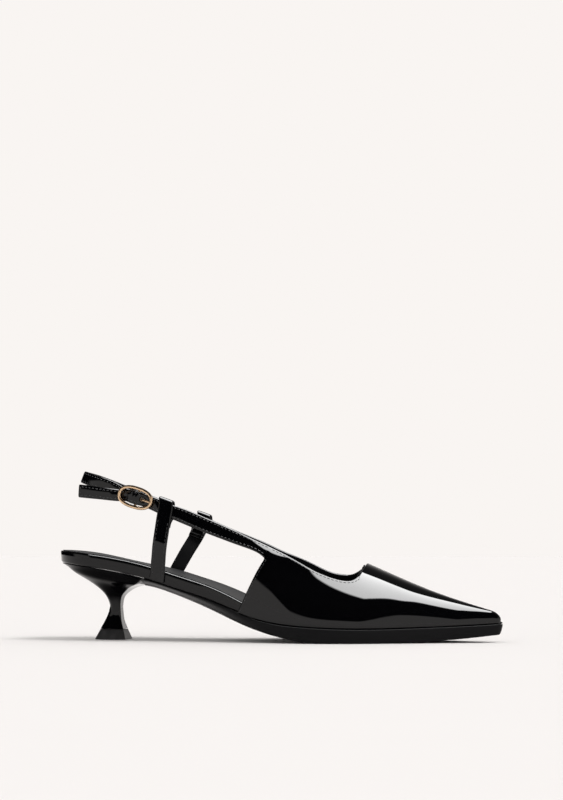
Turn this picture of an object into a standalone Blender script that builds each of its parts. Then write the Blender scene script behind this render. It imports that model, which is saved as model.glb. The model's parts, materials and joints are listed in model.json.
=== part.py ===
"""Open-back heeled shoe for the right foot: pointed vamp, cut-out sides, sling strap, spool heel.

Sizes are in millimetres until a mesh is made, where they become metres. "along" runs from the back
of the heel seat to the toe, "across" is negative on the lateral (outer) side and positive on the
medial (inner) side, and "up" is the height above the floor.
"""
import math
from collections import namedtuple

import bmesh
import bpy
import numpy as np

for old in list(bpy.data.objects):
    bpy.data.objects.remove(old, do_unlink=True)


def table(columns, *rows):
    """Rows of numbers under the given column names."""
    row_type = namedtuple("Row", columns)
    return [row_type(*row) for row in rows]


# Sizes

MM = 0.001
BACK = -2.1
TIP = 257.4
MIDDLE = (TIP + BACK) / 2.0
GAP = 0.3
UPPER_WALL = 1.6
SLING_WALL = 1.3
STAY_WALL = 1.4
LATERAL = -1
MEDIAL = 1

# The bottom of the last seen from above, as a sharp wedge that each layer rounds off by its margin

EDGE_ROUND = 1.6
ROUND_SAMPLES = 61
HEEL_RADIUS = 23.9
HEEL_CENTRE = BACK + HEEL_RADIUS + EDGE_ROUND
UPPER_MARGIN = GAP + UPPER_WALL
WELT = 1.0
SOLE_MARGIN = UPPER_MARGIN + WELT
APEX = TIP - EDGE_ROUND - SOLE_MARGIN
UPPER_TIP = APEX + EDGE_ROUND + UPPER_MARGIN

OUTLINE = table(
    "along lateral medial",
    (12.0, 23.6, 23.6),
    (25.0, 23.9, 23.9),
    (42.0, 23.9, 23.2),
    (58.0, 23.2, 21.3),
    (74.0, 22.4, 18.9),
    (90.0, 23.0, 17.6),
    (105.0, 25.7, 18.9),
    (120.0, 29.2, 22.6),
    (135.0, 32.1, 27.2),
    (150.0, 33.6, 31.2),
    (162.0, 33.3, 33.3),
    (172.0, 31.7, 33.3),
    (185.0, 27.7, 30.6),
    (200.0, 21.7, 25.5),
    (215.0, 15.2, 19.2),
    (230.0, 9.0, 12.7),
    (242.0, 4.2, 7.0),
    (APEX, -0.9, 0.9),
)

# Heights of the outsole's top face and the thickness of the wrapped insole above it

LEVELS = table(
    "along sole_top insole",
    (BACK, 45.2, 6.9),
    (14.0, 43.2, 7.2),
    (36.0, 39.9, 7.4),
    (58.0, 34.7, 7.5),
    (75.0, 29.3, 7.5),
    (90.0, 24.6, 7.5),
    (105.0, 19.0, 7.0),
    (120.0, 13.4, 5.6),
    (135.0, 10.2, 4.2),
    (150.0, 8.8, 3.4),
    (170.0, 7.9, 3.0),
    (190.0, 7.8, 3.0),
    (210.0, 8.3, 3.0),
    (235.0, 9.2, 3.0),
    (TIP, 10.4, 3.0),
)

# The outsole's underside: down the waist to the flat tread, then the toe spring

BREAST = 53.6
TREAD_BACK = 156.0
TREAD_FRONT = 192.0
TOE_SPRING = 4.6
TOE_SPRING_POWER = 1.7
UNDERSIDE = table(
    "along up tuck bevel",
    (50.0, 32.4, 5.6, 2.6),
    (58.0, 30.9, 5.6, 3.4),
    (66.0, 28.4, 5.6, 4.2),
    (76.0, 24.6, 5.6, 4.8),
    (88.0, 19.8, 5.4, 5.0),
    (103.0, 13.5, 3.9, 4.6),
    (115.0, 9.0, 1.7, 3.4),
    (127.0, 5.4, 0.3, 2.0),
    (140.0, 2.3, 0.0, 1.1),
    (150.0, 0.6, 0.0, 1.0),
    (TREAD_BACK, 0.0, 0.0, 1.0),
    (TREAD_FRONT, 0.0, 0.0, 1.0),
    (TIP, 0.0, 0.0, 1.0),
)

# Sections of the upper: the ridge, and the curve from the feather edge up to it

NOSE_RADIUS = 5.4
NOSE_DROP = 3.6
SECTIONS = table(
    "along ridge ridge_across rise lean reach",
    (104.0, 89.0, 4.0, 0.46, 0.6, 1.02),
    (122.0, 76.5, 4.0, 0.46, 1.0, 0.96),
    (136.0, 67.2, 4.0, 0.46, 1.4, 0.84),
    (150.0, 58.8, 3.8, 0.47, 1.8, 0.66),
    (163.0, 52.0, 3.4, 0.48, 2.2, 0.53),
    (179.2, 45.0, 3.0, 0.50, 2.4, 0.45),
    (198.6, 36.6, 2.3, 0.52, 2.2, 0.43),
    (212.6, 30.8, 1.8, 0.53, 1.8, 0.43),
    (226.6, 25.7, 1.3, 0.54, 1.3, 0.43),
    (240.6, 21.2, 0.9, 0.55, 0.8, 0.43),
    (UPPER_TIP, 16.4, 0.9, 0.55, 0.3, 0.43),
)

# Top edge of each quarter, from above the cut-out's corner round the throat to the ridge

COLLAR = table(
    "along lateral medial",
    (130.2, 53.5, 50.5),
    (139.0, 49.2, 46.8),
    (148.0, 44.2, 42.4),
    (156.0, 39.9, 39.2),
    (164.0, 36.7, 38.1),
)
THROAT = 180.0
THROAT_FOOT = 186.0
THROAT_SQUARE = {LATERAL: 2.8, MEDIAL: 1.6}
THROAT_STEPS = 10
QUARTER_FOOT = 110.2
QUARTER_COLUMNS = 10
VAMP_COLUMNS = 18
STRAP_SHARE = {LATERAL: 0.21, MEDIAL: 0.215}
STRAP_ROWS = 2
WALL_ROWS = 9
SIDE_FADE = 12.0
HEIGHT_HALVINGS = 40

# Straps that run back from the quarters: both edges seen from the side, and how far out they lie

STRAP_COLUMNS = "top_along top_up low_along low_up across lean"
LATERAL_STRAP = table(
    STRAP_COLUMNS,
    (128.2, 54.4, 125.2, 48.5, 29.5, 3.0),
    (125.6, 55.6, 123.4, 49.9, 29.6, 2.5),
    (121.4, 57.5, 120.2, 51.6, 29.6, 2.0),
    (114.0, 60.9, 112.6, 54.2, 29.4, 1.4),
    (104.0, 65.3, 101.6, 58.0, 29.0, 1.0),
    (90.0, 71.2, 87.2, 63.3, 28.2, 0.8),
    (76.0, 76.7, 73.2, 68.9, 27.4, 0.7),
    (66.0, 80.2, 63.4, 72.9, 26.8, 0.7),
)

# The lateral strap through the buckle to its tip, measured from the buckle's middle

BUCKLED_STRAP = table(
    "ahead out rise half_width slant",
    (12.4, -0.95, -0.5, 4.0, 0.0),
    (10.0, -1.15, -0.3, 3.9, 0.0),
    (8.0, -1.15, -0.15, 3.85, 0.0),
    (5.8, -0.55, 0.0, 3.75, 0.0),
    (3.0, 0.8, 0.0, 3.95, 0.0),
    (0.0, 1.2, 0.0, 4.05, 0.0),
    (-3.0, 0.8, -0.1, 3.9, 0.0),
    (-5.8, -0.55, -0.35, 3.5, 0.0),
    (-8.0, -1.15, -1.0, 3.55, -0.2),
    (-10.0, -1.15, -1.7, 3.55, -0.4),
    (-13.0, -0.9, -2.35, 3.6, -0.7),
    (-18.0, -0.8, -3.3, 3.6, -1.0),
    (-25.0, -1.2, -4.6, 3.7, -1.5),
    (-34.9, -2.1, -6.46, 3.85, -2.0),
)
MEDIAL_STRAP = table(
    STRAP_COLUMNS,
    (128.0, 51.4, 125.1, 44.9, 26.8, 0.9),
    (125.2, 52.6, 123.2, 46.4, 27.2, 1.2),
    (121.0, 54.5, 120.0, 48.0, 27.9, 1.4),
    (113.0, 58.0, 111.6, 50.8, 28.6, 1.4),
    (103.0, 61.8, 100.4, 54.3, 28.7, 1.0),
    (91.0, 66.7, 88.0, 59.1, 28.2, 0.8),
    (77.8, 72.5, 75.0, 65.0, 27.5, 0.7),
)
STRAPS = {LATERAL: LATERAL_STRAP, MEDIAL: MEDIAL_STRAP}
STRAP_STEPS = 3
RIBBON_ROWS = 2

SLING = table(
    "along across up width",
    (75.8, 26.9, 69.0, 7.8),
    (64.0, 26.0, 73.8, 7.7),
    (50.0, 23.8, 79.4, 7.6),
    (37.0, 20.2, 84.7, 7.5),
    (25.0, 15.0, 89.8, 7.5),
    (14.6, 8.4, 93.9, 7.5),
    (10.3, 0.0, 95.4, 7.5),
    (13.2, -8.2, 94.9, 7.5),
    (22.2, -14.8, 92.8, 7.4),
    (33.0, -18.4, 89.2, 7.3),
)
SLING_LEAN = (0.36, 0.0, 0.93)
SLING_STEPS = 3

# The sling's end at the buckle's bar, measured from the buckle's middle

FOLD_WIDTH = 7.0
FOLD_START = table(
    "ahead out",
    (-8.7, -3.4),
    (-5.4, -2.8),
    (-2.6, -1.5),
)
FOLD_TURN_STEPS = 8
FOLD_END = table(
    "ahead out",
    (-1.6, -5.8),
    (-4.0, -6.6),
)

# Stays: foot at the insole, loop round the strap

STAY_WIDTH = 9.0
Stay = namedtuple("Stay", "foot_along loop_along strap_top strap_low strap_across")
STAYS = {
    LATERAL: Stay(61.9, 67.9, 79.9, 70.5, 26.85),
    MEDIAL: Stay(58.9, 77.4, 72.85, 64.5, 27.35),
}
STAY_SLOPE = -0.36
LOOP_SLACK = 0.75
LOOP_CROWN = 0.1
LOOP_STEPS = 10
LOOP_SQUARE = 3.0
STAY_TAIL_STEPS = (2.2, 4.6)

# A stay's way up: level 0 is the insole's base, 1 its top and 2 the strap; out 0 lies on the insole's
# edge and 1 over the strap

STAY_PATH = {
    LATERAL: table(
        "level out",
        (0.08, 0.0),
        (0.4, 0.0),
        (0.92, 0.0),
        (1.08, 0.22),
        (1.22, 0.66),
        (1.4, 1.0),
        (1.6, 1.1),
        (1.83, 1.06),
        (2.0, 1.0),
    ),
    MEDIAL: table(
        "level out",
        (0.08, 0.0),
        (0.4, 0.0),
        (0.92, 0.0),
        (1.1, 0.12),
        (1.45, 0.5),
        (1.83, 0.97),
        (2.0, 1.0),
    ),
}

# Heel: tilted rings from the seat, through the stem, to the floor

HEEL_RINGS = table(
    "back_along back_up front_along front_up half_width breast",
    (6.3, 39.4, 46.6, 32.0, 19.6, 17.0),
    (14.0, 34.7, 41.6, 30.4, 13.2, 10.2),
    (20.7, 30.0, 37.7, 27.8, 8.8, 6.0),
    (25.1, 25.4, 35.2, 24.8, 6.3, 4.1),
    (27.2, 20.6, 34.4, 20.6, 5.0, 3.3),
    (27.1, 18.0, 34.4, 18.0, 4.6, 3.1),
    (26.1, 14.6, 34.7, 14.6, 4.4, 3.1),
    (24.0, 10.3, 35.4, 10.3, 5.2, 3.8),
    (21.7, 6.2, 36.8, 6.2, 7.0, 5.2),
    (18.5, 0.0, 38.8, 0.0, 10.2, 8.0),
)
HEEL_SEAT_INSET = 0.9
HEEL_MIDDLE = 0.5
BACK_STEPS = 14
SIDE_STEPS = 4
SEAT_LEVELS = 3
RINGS_PER_ROW = 2
SEAT_BULGE = 0.35
LIP_EDGE = 0.3
LIP_DEPTH = 3.9
LIP_START = 38.0
LIP_WIDTH = 13.0
LIP_FADE = 7.0

# Buckle: an oval frame, its bar set back behind the straps, and the prong

BUCKLE_AT = (49.2, -25.8, 82.3)
BUCKLE_FORWARD = (22.0, -2.0, -6.8)
FRAME_HALF_LENGTH = 10.0
FRAME_HALF_HEIGHT = 5.45
FRAME_RADIUS = 1.0
FRAME_OUT = 0.4
FRAME_SQUARE = 2.4
BAR_RADIUS = 0.8
BAR_OUT = -3.3
BAR_BEND = 1.0
BAR_BEND_STEPS = 5
PRONG_RADIUS = 0.6
PRONG_STEPS = 20
PRONG_PATH = table(
    "ahead out",
    (2.0, -2.8),
    (3.1, -1.7),
    (4.3, 0.4),
    (5.7, 2.0),
    (7.9, 2.7),
    (10.3, 2.6),
)
HOLE_ALONG = 3.7
HOLE_RADIUS = 1.6
HOLE_DEPTH = 4.0
SLOT_HALF_WIDTH = 1.5
SLOT_BACK = -0.2
SLOT_FRONT = 4.0
SLOT_DEPTH = 4.5

# Curves through the rows of a table


def spline(places, values):
    """A natural cubic spline through the given values."""
    places = np.asarray(places, float)
    values = np.asarray(values, float)
    count = len(places)
    step = np.diff(places)
    slope = np.diff(values) / step
    left = np.eye(count)
    right = np.zeros(count)
    for row in range(1, count - 1):
        left[row, row - 1] = step[row - 1]
        left[row, row] = 2.0 * (step[row - 1] + step[row])
        left[row, row + 1] = step[row]
        right[row] = 6.0 * (slope[row] - slope[row - 1])
    bend = np.linalg.solve(left, right)

    def value(place):
        place = min(max(place, places[0]), places[-1])
        row = min(max(int(np.searchsorted(places, place)) - 1, 0), count - 2)
        size = step[row]
        ahead = (places[row + 1] - place) / size
        behind = (place - places[row]) / size
        curve = (ahead ** 3 - ahead) * bend[row] + (behind ** 3 - behind) * bend[row + 1]
        return ahead * values[row] + behind * values[row + 1] + curve * size * size / 6.0

    return value


def curves(rows, places=None):
    """One spline for each named column of a table, over its first column or over given places."""
    values = np.array(rows, float)
    if places is None:
        places = values[:, 0]
    return {name: spline(places, values[:, at]) for at, name in enumerate(rows[0]._fields)}


outline = curves(OUTLINE)
level = curves(LEVELS)
underside = curves(UNDERSIDE)
section = curves(SECTIONS)
SIDE_NAME = {LATERAL: "lateral", MEDIAL: "medial"}


def wedge(side, along):
    """Half width of the last's bottom before its edge is rounded."""
    if along < HEEL_CENTRE:
        return math.sqrt(max(HEEL_RADIUS ** 2 - (HEEL_CENTRE - along) ** 2, 0.0))
    return outline[SIDE_NAME[side]](along)


def half_width(side, along, margin):
    """Half width of a layer that stands out from the last's bottom by the given margin."""
    radius = EDGE_ROUND + margin
    widest = -radius
    for shift in np.linspace(-radius, radius, ROUND_SAMPLES):
        place = along + shift
        if BACK + EDGE_ROUND <= place <= APEX:
            reach = wedge(side, place) + math.sqrt(max(radius ** 2 - shift ** 2, 0.0))
            widest = max(widest, reach)
    return widest


def sole_top(along):
    return level["sole_top"](along)


def sole_bottom(along):
    """Height of the outsole's underside."""
    if along > TREAD_FRONT:
        return TOE_SPRING * ((along - TREAD_FRONT) / (TIP - TREAD_FRONT)) ** TOE_SPRING_POWER
    if along > TREAD_BACK:
        return 0.0
    return max(underside["up"](along), 0.0)


def insole_base(along):
    return sole_top(along) + GAP


# Buckle's own directions: forward along the strap, outward, and up across the strap

forward = np.array(BUCKLE_FORWARD) / np.linalg.norm(BUCKLE_FORWARD)
outward = np.array((0.0, -1.0, 0.0)) - forward * np.dot((0.0, -1.0, 0.0), forward)
outward = outward / np.linalg.norm(outward)
upward = np.cross(outward, forward)
upward = upward if upward[2] > 0 else -upward


def buckle_point(ahead, height, out):
    return np.array(BUCKLE_AT) + ahead * forward + height * upward + out * outward


# Meshes, materials and collections


def collection(name):
    made = bpy.data.collections.new(name)
    bpy.context.scene.collection.children.link(made)
    return made


shoe_parts = collection("open_back_heeled_shoe")
cutters = collection("cutters")


def material(name, colour, roughness, metallic=0.0, coat=0.0):
    made = bpy.data.materials.new(name)
    made.use_nodes = True
    shader = made.node_tree.nodes["Principled BSDF"]
    shader.inputs["Base Color"].default_value = (*colour, 1.0)
    shader.inputs["Roughness"].default_value = roughness
    shader.inputs["Metallic"].default_value = metallic
    shader.inputs["Coat Weight"].default_value = coat
    return made


def to_metres(at):
    """A point (along, across, up) in metres, with the middle of the length at the origin."""
    along, across, up = at
    return ((along - MIDDLE) * MM, across * MM, up * MM)


def mesh_object(name, points, faces, finish, group=shoe_parts):
    mesh = bpy.data.meshes.new(name)
    mesh.from_pydata([to_metres(point) for point in points], [], faces)
    mesh.validate()
    made = bpy.data.objects.new(name, mesh)
    group.objects.link(made)
    if finish is not None:
        mesh.materials.append(finish)
    return made


def face_outward(made):
    shape = bmesh.new()
    shape.from_mesh(made.data)
    bmesh.ops.recalc_face_normals(shape, faces=shape.faces)
    shape.to_mesh(made.data)
    shape.free()


def loft(name, rings, finish):
    """A closed solid through rings of equal count, with flat end faces."""
    count = len(rings[0])
    points = [point for ring in rings for point in ring]
    faces = []
    for row in range(len(rings) - 1):
        for at in range(count):
            after = (at + 1) % count
            low = row * count
            high = low + count
            faces.append((low + at, low + after, high + after, high + at))
    last = (len(rings) - 1) * count
    faces.append(tuple(range(count - 1, -1, -1)))
    faces.append(tuple(range(last, last + count)))
    made = mesh_object(name, points, faces, finish)
    face_outward(made)
    return made


def thicken(sheet, wall):
    """Give a sheet its wall on the side away from the viewer."""
    shell = sheet.modifiers.new("wall", "SOLIDIFY")
    shell.thickness = wall * MM
    shell.offset = -1.0
    shell.use_even_offset = True
    return shell


def ribbon(name, edges, finish, wall):
    """A strap between pairs of edge points, with its wall behind the face it shows."""
    points = []
    for top, low in edges:
        for row in range(RIBBON_ROWS + 1):
            points.append(np.asarray(top) + (np.asarray(low) - np.asarray(top)) * row / RIBBON_ROWS)
    faces = []
    width = RIBBON_ROWS + 1
    for at in range(len(edges) - 1):
        for row in range(RIBBON_ROWS):
            first = at * width + row
            faces.append((first, first + 1, first + 1 + width, first + width))
    made = mesh_object(name, points, faces, finish)
    thicken(made, wall)
    return made


patent = material("patent_leather", (0.006, 0.006, 0.008), 0.08, coat=1.0)
wrapped = material("wrapped_board", (0.02, 0.02, 0.022), 0.2, coat=0.6)
sole_finish = material("outsole_leather", (0.01, 0.01, 0.011), 0.25, coat=0.4)
heel_finish = material("heel_cover", (0.008, 0.008, 0.01), 0.12, coat=0.8)
rubber = material("top_piece_rubber", (0.012, 0.012, 0.012), 0.5)
gold = material("gold_metal", (0.83, 0.66, 0.36), 0.18, metallic=1.0)

# Outsole

OUTSOLE_STATIONS = 46
OUTSOLE_END = TIP - 0.12
TOP_CHAMFER = 0.5
NARROWEST_CHAMFER = 0.2
NARROWEST_BEVEL = 0.45
TOE_UNDERCUT = 1.0
TOE_UNDERCUT_START = 242.0
OUTSOLE_SIDE = table(
    "height bevel undercut",
    (0.0, 1.0, 1.0),
    (0.16, 0.42, 0.8),
    (0.44, 0.1, 0.5),
)


def outsole_ring(along):
    top = sole_top(along)
    low = sole_bottom(along)
    room = (half_width(LATERAL, along, SOLE_MARGIN) + half_width(MEDIAL, along, SOLE_MARGIN)) / 2.0
    bevel = min(underside["bevel"](along), NARROWEST_BEVEL * room)
    chamfer = min(TOP_CHAMFER, NARROWEST_CHAMFER * room)
    undercut = TOE_UNDERCUT * max((along - TOE_UNDERCUT_START) / (TIP - TOE_UNDERCUT_START), 0.0)
    half_ring = {}
    for side in (LATERAL, MEDIAL):
        edge = half_width(side, along, SOLE_MARGIN) - underside["tuck"](along)
        ring = []
        for row in OUTSOLE_SIDE:
            across = side * (edge - row.bevel * bevel)
            ring.append((along - row.undercut * undercut, across, low + row.height * (top - low)))
        ring.append((along, side * edge, top - chamfer))
        ring.append((along, side * (edge - chamfer), top))
        half_ring[side] = ring
    middle = (half_ring[MEDIAL][0][1] + half_ring[LATERAL][0][1]) / 2.0
    return (half_ring[LATERAL] + [(along, middle, top)]
            + half_ring[MEDIAL][::-1] + [(along - undercut, middle, low)])


def outsole():
    """Even stations along the waist, closer ones towards the toe."""
    turns = np.linspace(0.0, 1.0, OUTSOLE_STATIONS)
    straight = BREAST + (TIP - BREAST) * turns
    rounded = BREAST + (TIP - BREAST) * np.sin(turns * math.pi / 2.0)
    half = OUTSOLE_STATIONS // 2
    stations = list(straight[:half]) + list(rounded[rounded > straight[half]])
    rings = [outsole_ring(min(along, OUTSOLE_END)) for along in stations]
    return loft("outsole", rings, sole_finish)


# Insole

INSOLE_STATIONS = 44
INSOLE_BACK = BACK + 0.12
INSOLE_TIP = 249.5
INSOLE_DISH = 0.8
SEAT_ROLL = 2.0
SEAT_ROLL_AT = 40.0
SEAT_ROLL_REACH = 36.0
INSOLE_EDGE = 1.4
NARROWEST_EDGE = 0.4
EDGE_TURN = 0.3
DISH_PLACE = 0.45
DISH_SHARE = 0.75
INSOLE_CLOSING = 1.5
TOE_EASE = 1.4
TOE_EASE_START = 118.0


def insole_edge(side, along):
    """Half width of the insole, eased inwards where it lies inside the upper."""
    share = min(max((along - TOE_EASE_START) / (INSOLE_TIP - TOE_EASE_START), 0.0), 1.0)
    return half_width(side, along, 0.0) - TOE_EASE * math.sqrt(share)


def seat_roll(along):
    """How much lower the seat lies along its medial edge."""
    share = min(abs(along - SEAT_ROLL_AT) / SEAT_ROLL_REACH, 1.0)
    return SEAT_ROLL * (0.5 + 0.5 * math.cos(math.pi * share))


def insole_ring(along):
    low = insole_base(along)
    thick = level["insole"](along)
    roll = seat_roll(along)
    room = (insole_edge(LATERAL, along) + insole_edge(MEDIAL, along)) / 2.0
    round_off = min(INSOLE_EDGE, NARROWEST_EDGE * room, NARROWEST_EDGE * thick)
    turn = EDGE_TURN * round_off
    dish = INSOLE_DISH * min(room / HEEL_RADIUS, 1.0)
    half_ring = {}
    for side in (LATERAL, MEDIAL):
        edge = insole_edge(side, along)
        top = low + thick - (roll if side == MEDIAL else 0.0)
        inner = edge - round_off - DISH_PLACE * (room - round_off)
        half_ring[side] = [
            (along, side * (edge - round_off), low),
            (along, side * (edge - turn), low + turn),
            (along, side * edge, low + round_off),
            (along, side * edge, top - round_off),
            (along, side * (edge - turn), top - turn),
            (along, side * (edge - round_off), top),
            (along, side * inner, top - DISH_SHARE * dish),
        ]
    middle = (half_ring[MEDIAL][0][1] + half_ring[LATERAL][0][1]) / 2.0
    crown = low + thick - 0.5 * roll - dish
    return (half_ring[LATERAL] + [(along, middle, crown)]
            + half_ring[MEDIAL][::-1] + [(along, middle, low)])


def insole():
    turns = np.linspace(0.0, 1.0, INSOLE_STATIONS)
    stations = [INSOLE_BACK + (INSOLE_TIP - INSOLE_BACK) * turn ** INSOLE_CLOSING for turn in turns]
    return loft("insole", [insole_ring(at) for at in stations], wrapped)


# Heel and its top piece


def heel_outline(back, front, half, breast):
    """A rounded back and a flat breast, as (share of the way forward, across)."""
    middle = back + HEEL_MIDDLE * (front - back)
    points = []
    for turn in np.linspace(0.0, math.pi, BACK_STEPS + 1):
        points.append((middle - (middle - back) * math.sin(turn), -half * math.cos(turn)))
    for step in range(1, SIDE_STEPS + 1):
        turn = 0.5 * math.pi * step / SIDE_STEPS
        across = breast + (half - breast) * math.cos(turn)
        points.append((middle + (front - middle) * math.sin(turn), across))
    points.append((front, 0.0))
    for step in range(SIDE_STEPS, 0, -1):
        turn = 0.5 * math.pi * step / SIDE_STEPS
        across = breast + (half - breast) * math.cos(turn)
        points.append((middle + (front - middle) * math.sin(turn), -across))
    return points


def heel_ring(row):
    back, back_up, front, front_up, half, breast = row
    ring = []
    for along, across in heel_outline(back, front, half, breast):
        share = (along - back) / (front - back)
        ring.append((along, across, back_up + (front_up - back_up) * share))
    return ring


def heel_seat_ring():
    """The heel's top edge, which follows the insole above it."""
    front = BREAST - GAP
    breast = half_width(MEDIAL, front, 0.0) - HEEL_SEAT_INSET
    half = HEEL_RADIUS + EDGE_ROUND - HEEL_SEAT_INSET
    ring = heel_outline(BACK + HEEL_SEAT_INSET, front, half, breast)
    return [(along, across, sole_top(along)) for along, across in ring]


def heel_lip_ring(seat):
    """Just under the seat, and drawn down at the breast to the underside of the outsole."""
    ring = []
    for along, across, up in seat:
        forward_share = min(max((along - LIP_START) / (BREAST - GAP - LIP_START), 0.0), 1.0)
        side_share = min(max((abs(across) - LIP_WIDTH) / LIP_FADE, 0.0), 1.0)
        drop = LIP_EDGE + LIP_DEPTH * forward_share ** 2 * (1.0 - side_share)
        ring.append((along, across, up - drop))
    return ring


def seat_fill(seat):
    """Rings across the seat, so that the heel's top follows the curve of the insole."""
    middle = np.mean([point[:2] for point in seat], axis=0)
    rings = []
    for step in range(SEAT_LEVELS, 0, -1):
        share = step / (SEAT_LEVELS + 1.0)
        ring = []
        for along, across, _ in seat:
            new_along = middle[0] + (along - middle[0]) * share
            new_across = middle[1] + (across - middle[1]) * share
            ring.append((new_along, new_across, sole_top(new_along)))
        rings.append(ring)
    return rings


def heel():
    rows = HEEL_RINGS[:-1]
    ring_at = curves(rows, np.arange(len(rows)))
    spans = len(rows) - 1
    steps = np.linspace(0.0, spans, RINGS_PER_ROW * spans + 1)
    body = [heel_ring([value(step) for value in ring_at.values()]) for step in steps]
    seat = heel_seat_ring()
    lip = heel_lip_ring(seat)
    between = []
    for above, below in zip(lip, body[0]):
        along, across, up = (np.array(above) + np.array(below)) / 2.0
        between.append((along, across, up + SEAT_BULGE))
    return loft("heel", seat_fill(seat)[::-1] + [seat, lip, between] + body, heel_finish)


def heel_top_piece():
    joint = HEEL_RINGS[-2]
    joint = joint._replace(back_up=joint.back_up - GAP, front_up=joint.front_up - GAP)
    return loft("heel_top_piece", [heel_ring(joint), heel_ring(HEEL_RINGS[-1])], rubber)


# Upper


def ridge_up(along):
    """Height of the ridge, which turns down round the nose at the toe."""
    start = UPPER_TIP - NOSE_RADIUS
    drop = 0.0
    if along > start:
        share = min((along - start) / NOSE_RADIUS, 1.0)
        drop = NOSE_DROP * (1.0 - math.sqrt(1.0 - share * share))
    return section["ridge"](along) - drop


def bezier(share, values):
    """A place on a cubic curve from its last value, at share 0, to its first, at share 1."""
    rest = 1.0 - share
    weights = (share ** 3, 3.0 * share ** 2 * rest, 3.0 * share * rest ** 2, rest ** 3)
    return sum(weight * value for weight, value in zip(weights, values))


def upper_point(side, along, share):
    """A point of the upper's outer face: share 0 is on the ridge, share 1 at the feather edge."""
    foot = half_width(side, along, UPPER_MARGIN)
    base = sole_top(along) + GAP
    top = ridge_up(along)
    ridge = side * section["ridge_across"](along)
    span = foot - ridge
    belly = foot + section["lean"](along) * min(span / SIDE_FADE, 1.0)
    shoulder = ridge + section["reach"](along) * span
    across = bezier(share, (foot, belly, shoulder, ridge))
    up = bezier(share, (base, base + section["rise"](along) * (top - base), top, top))
    return (along, side * across, up)


def share_at_height(side, along, up):
    low = 0.0
    high = 1.0
    for _ in range(HEIGHT_HALVINGS):
        middle = (low + high) / 2.0
        if upper_point(side, along, middle)[2] > up:
            low = middle
        else:
            high = middle
    return (low + high) / 2.0


def collar_columns(side):
    """Where each column of the quarter starts at the collar: (along, share)."""
    up_at = curves(COLLAR)[SIDE_NAME[side]]
    starts = []
    for along in np.linspace(COLLAR[0].along, COLLAR[-1].along, QUARTER_COLUMNS):
        starts.append((along, share_at_height(side, along, up_at(along))))
    corner, corner_share = starts[-1]
    power = 2.0 / THROAT_SQUARE[side]
    for turn in np.linspace(0.0, math.pi / 2.0, THROAT_STEPS + 1)[1:]:
        along = corner + (THROAT - corner) * math.sin(turn) ** power
        starts.append((along, corner_share * max(math.cos(turn), 0.0) ** power))
    starts[-1] = (THROAT, 0.0)
    return starts


def row_shares(side):
    strap = STRAP_SHARE[side]
    top = [strap * row / STRAP_ROWS for row in range(STRAP_ROWS)]
    rest = [strap + (1.0 - strap) * row / WALL_ROWS for row in range(WALL_ROWS + 1)]
    return top + rest


def strap_edges(side):
    """Pairs of edge points along a quarter's strap."""
    rows = []
    for row in STRAPS[side]:
        top = (row.top_along, side * (row.across - row.lean / 2.0), row.top_up)
        low = (row.low_along, side * (row.across + row.lean / 2.0), row.low_up)
        rows.append((*top, *low))
    if side == LATERAL:
        for row in BUCKLED_STRAP:
            top = buckle_point(row.ahead + row.slant, row.rise + row.half_width, row.out)
            low = buckle_point(row.ahead, row.rise - row.half_width, row.out)
            rows.append((*top, *low))
    values = np.array(rows)
    places = np.arange(len(rows))
    at = [spline(places, values[:, column]) for column in range(values.shape[1])]
    steps = np.linspace(0.0, places[-1], STRAP_STEPS * (len(rows) - 1) + 1)
    edges = [np.array([value(step) for value in at]) for step in steps]
    return [(edge[:3], edge[3:]) for edge in edges]


class Sheet:
    """Points and faces of the upper's outer face."""

    def __init__(self):
        self.points = []
        self.faces = []

    def add(self, point):
        self.points.append(tuple(point))
        return len(self.points) - 1

    def quad(self, a, b, c, d, side):
        self.faces.append((a, b, c, d) if side == LATERAL else (d, c, b, a))


def upper_side(sheet, side, ridge_points):
    shares = row_shares(side)
    starts = collar_columns(side)
    feet = np.linspace(QUARTER_FOOT, THROAT_FOOT, len(starts))
    columns = [(start[0], start[1], foot) for start, foot in zip(starts, feet)]
    turns = np.linspace(0.0, math.pi / 2.0, VAMP_COLUMNS + 1)[1:]
    for turn in turns:
        way = math.sin(turn)
        columns.append((THROAT + (UPPER_TIP - THROAT) * way, 0.0,
                        THROAT_FOOT + (UPPER_TIP - THROAT_FOOT) * way))
    grid = []
    for number, (start, start_share, foot) in enumerate(columns):
        column = []
        for row, share in enumerate(shares):
            along = start + (foot - start) * share
            point = upper_point(side, along, start_share + (1.0 - start_share) * share)
            shared = (number, row)
            on_seam = number == len(columns) - 1 or (start_share == 0.0 and row == 0)
            if on_seam and shared in ridge_points:
                column.append(ridge_points[shared])
                continue
            if number == len(columns) - 1:
                point = (UPPER_TIP, OUTLINE[-1].medial, point[2])
            index = sheet.add(point)
            if on_seam:
                ridge_points[shared] = index
            column.append(index)
        grid.append(column)
    for left, right in zip(grid, grid[1:]):
        for row in range(len(shares) - 1):
            sheet.quad(left[row], left[row + 1], right[row + 1], right[row], side)
    before = grid[0][: STRAP_ROWS + 1]
    for top, low in strap_edges(side):
        after = []
        for row in range(STRAP_ROWS + 1):
            after.append(sheet.add(top + (low - top) * row / STRAP_ROWS))
        for row in range(STRAP_ROWS):
            sheet.quad(after[row], after[row + 1], before[row + 1], before[row], side)
        before = after


def upper():
    sheet = Sheet()
    ridge_points = {}
    upper_side(sheet, LATERAL, ridge_points)
    upper_side(sheet, MEDIAL, ridge_points)
    made = mesh_object("upper", sheet.points, sheet.faces, patent)
    thicken(made, UPPER_WALL)
    return made


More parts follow.
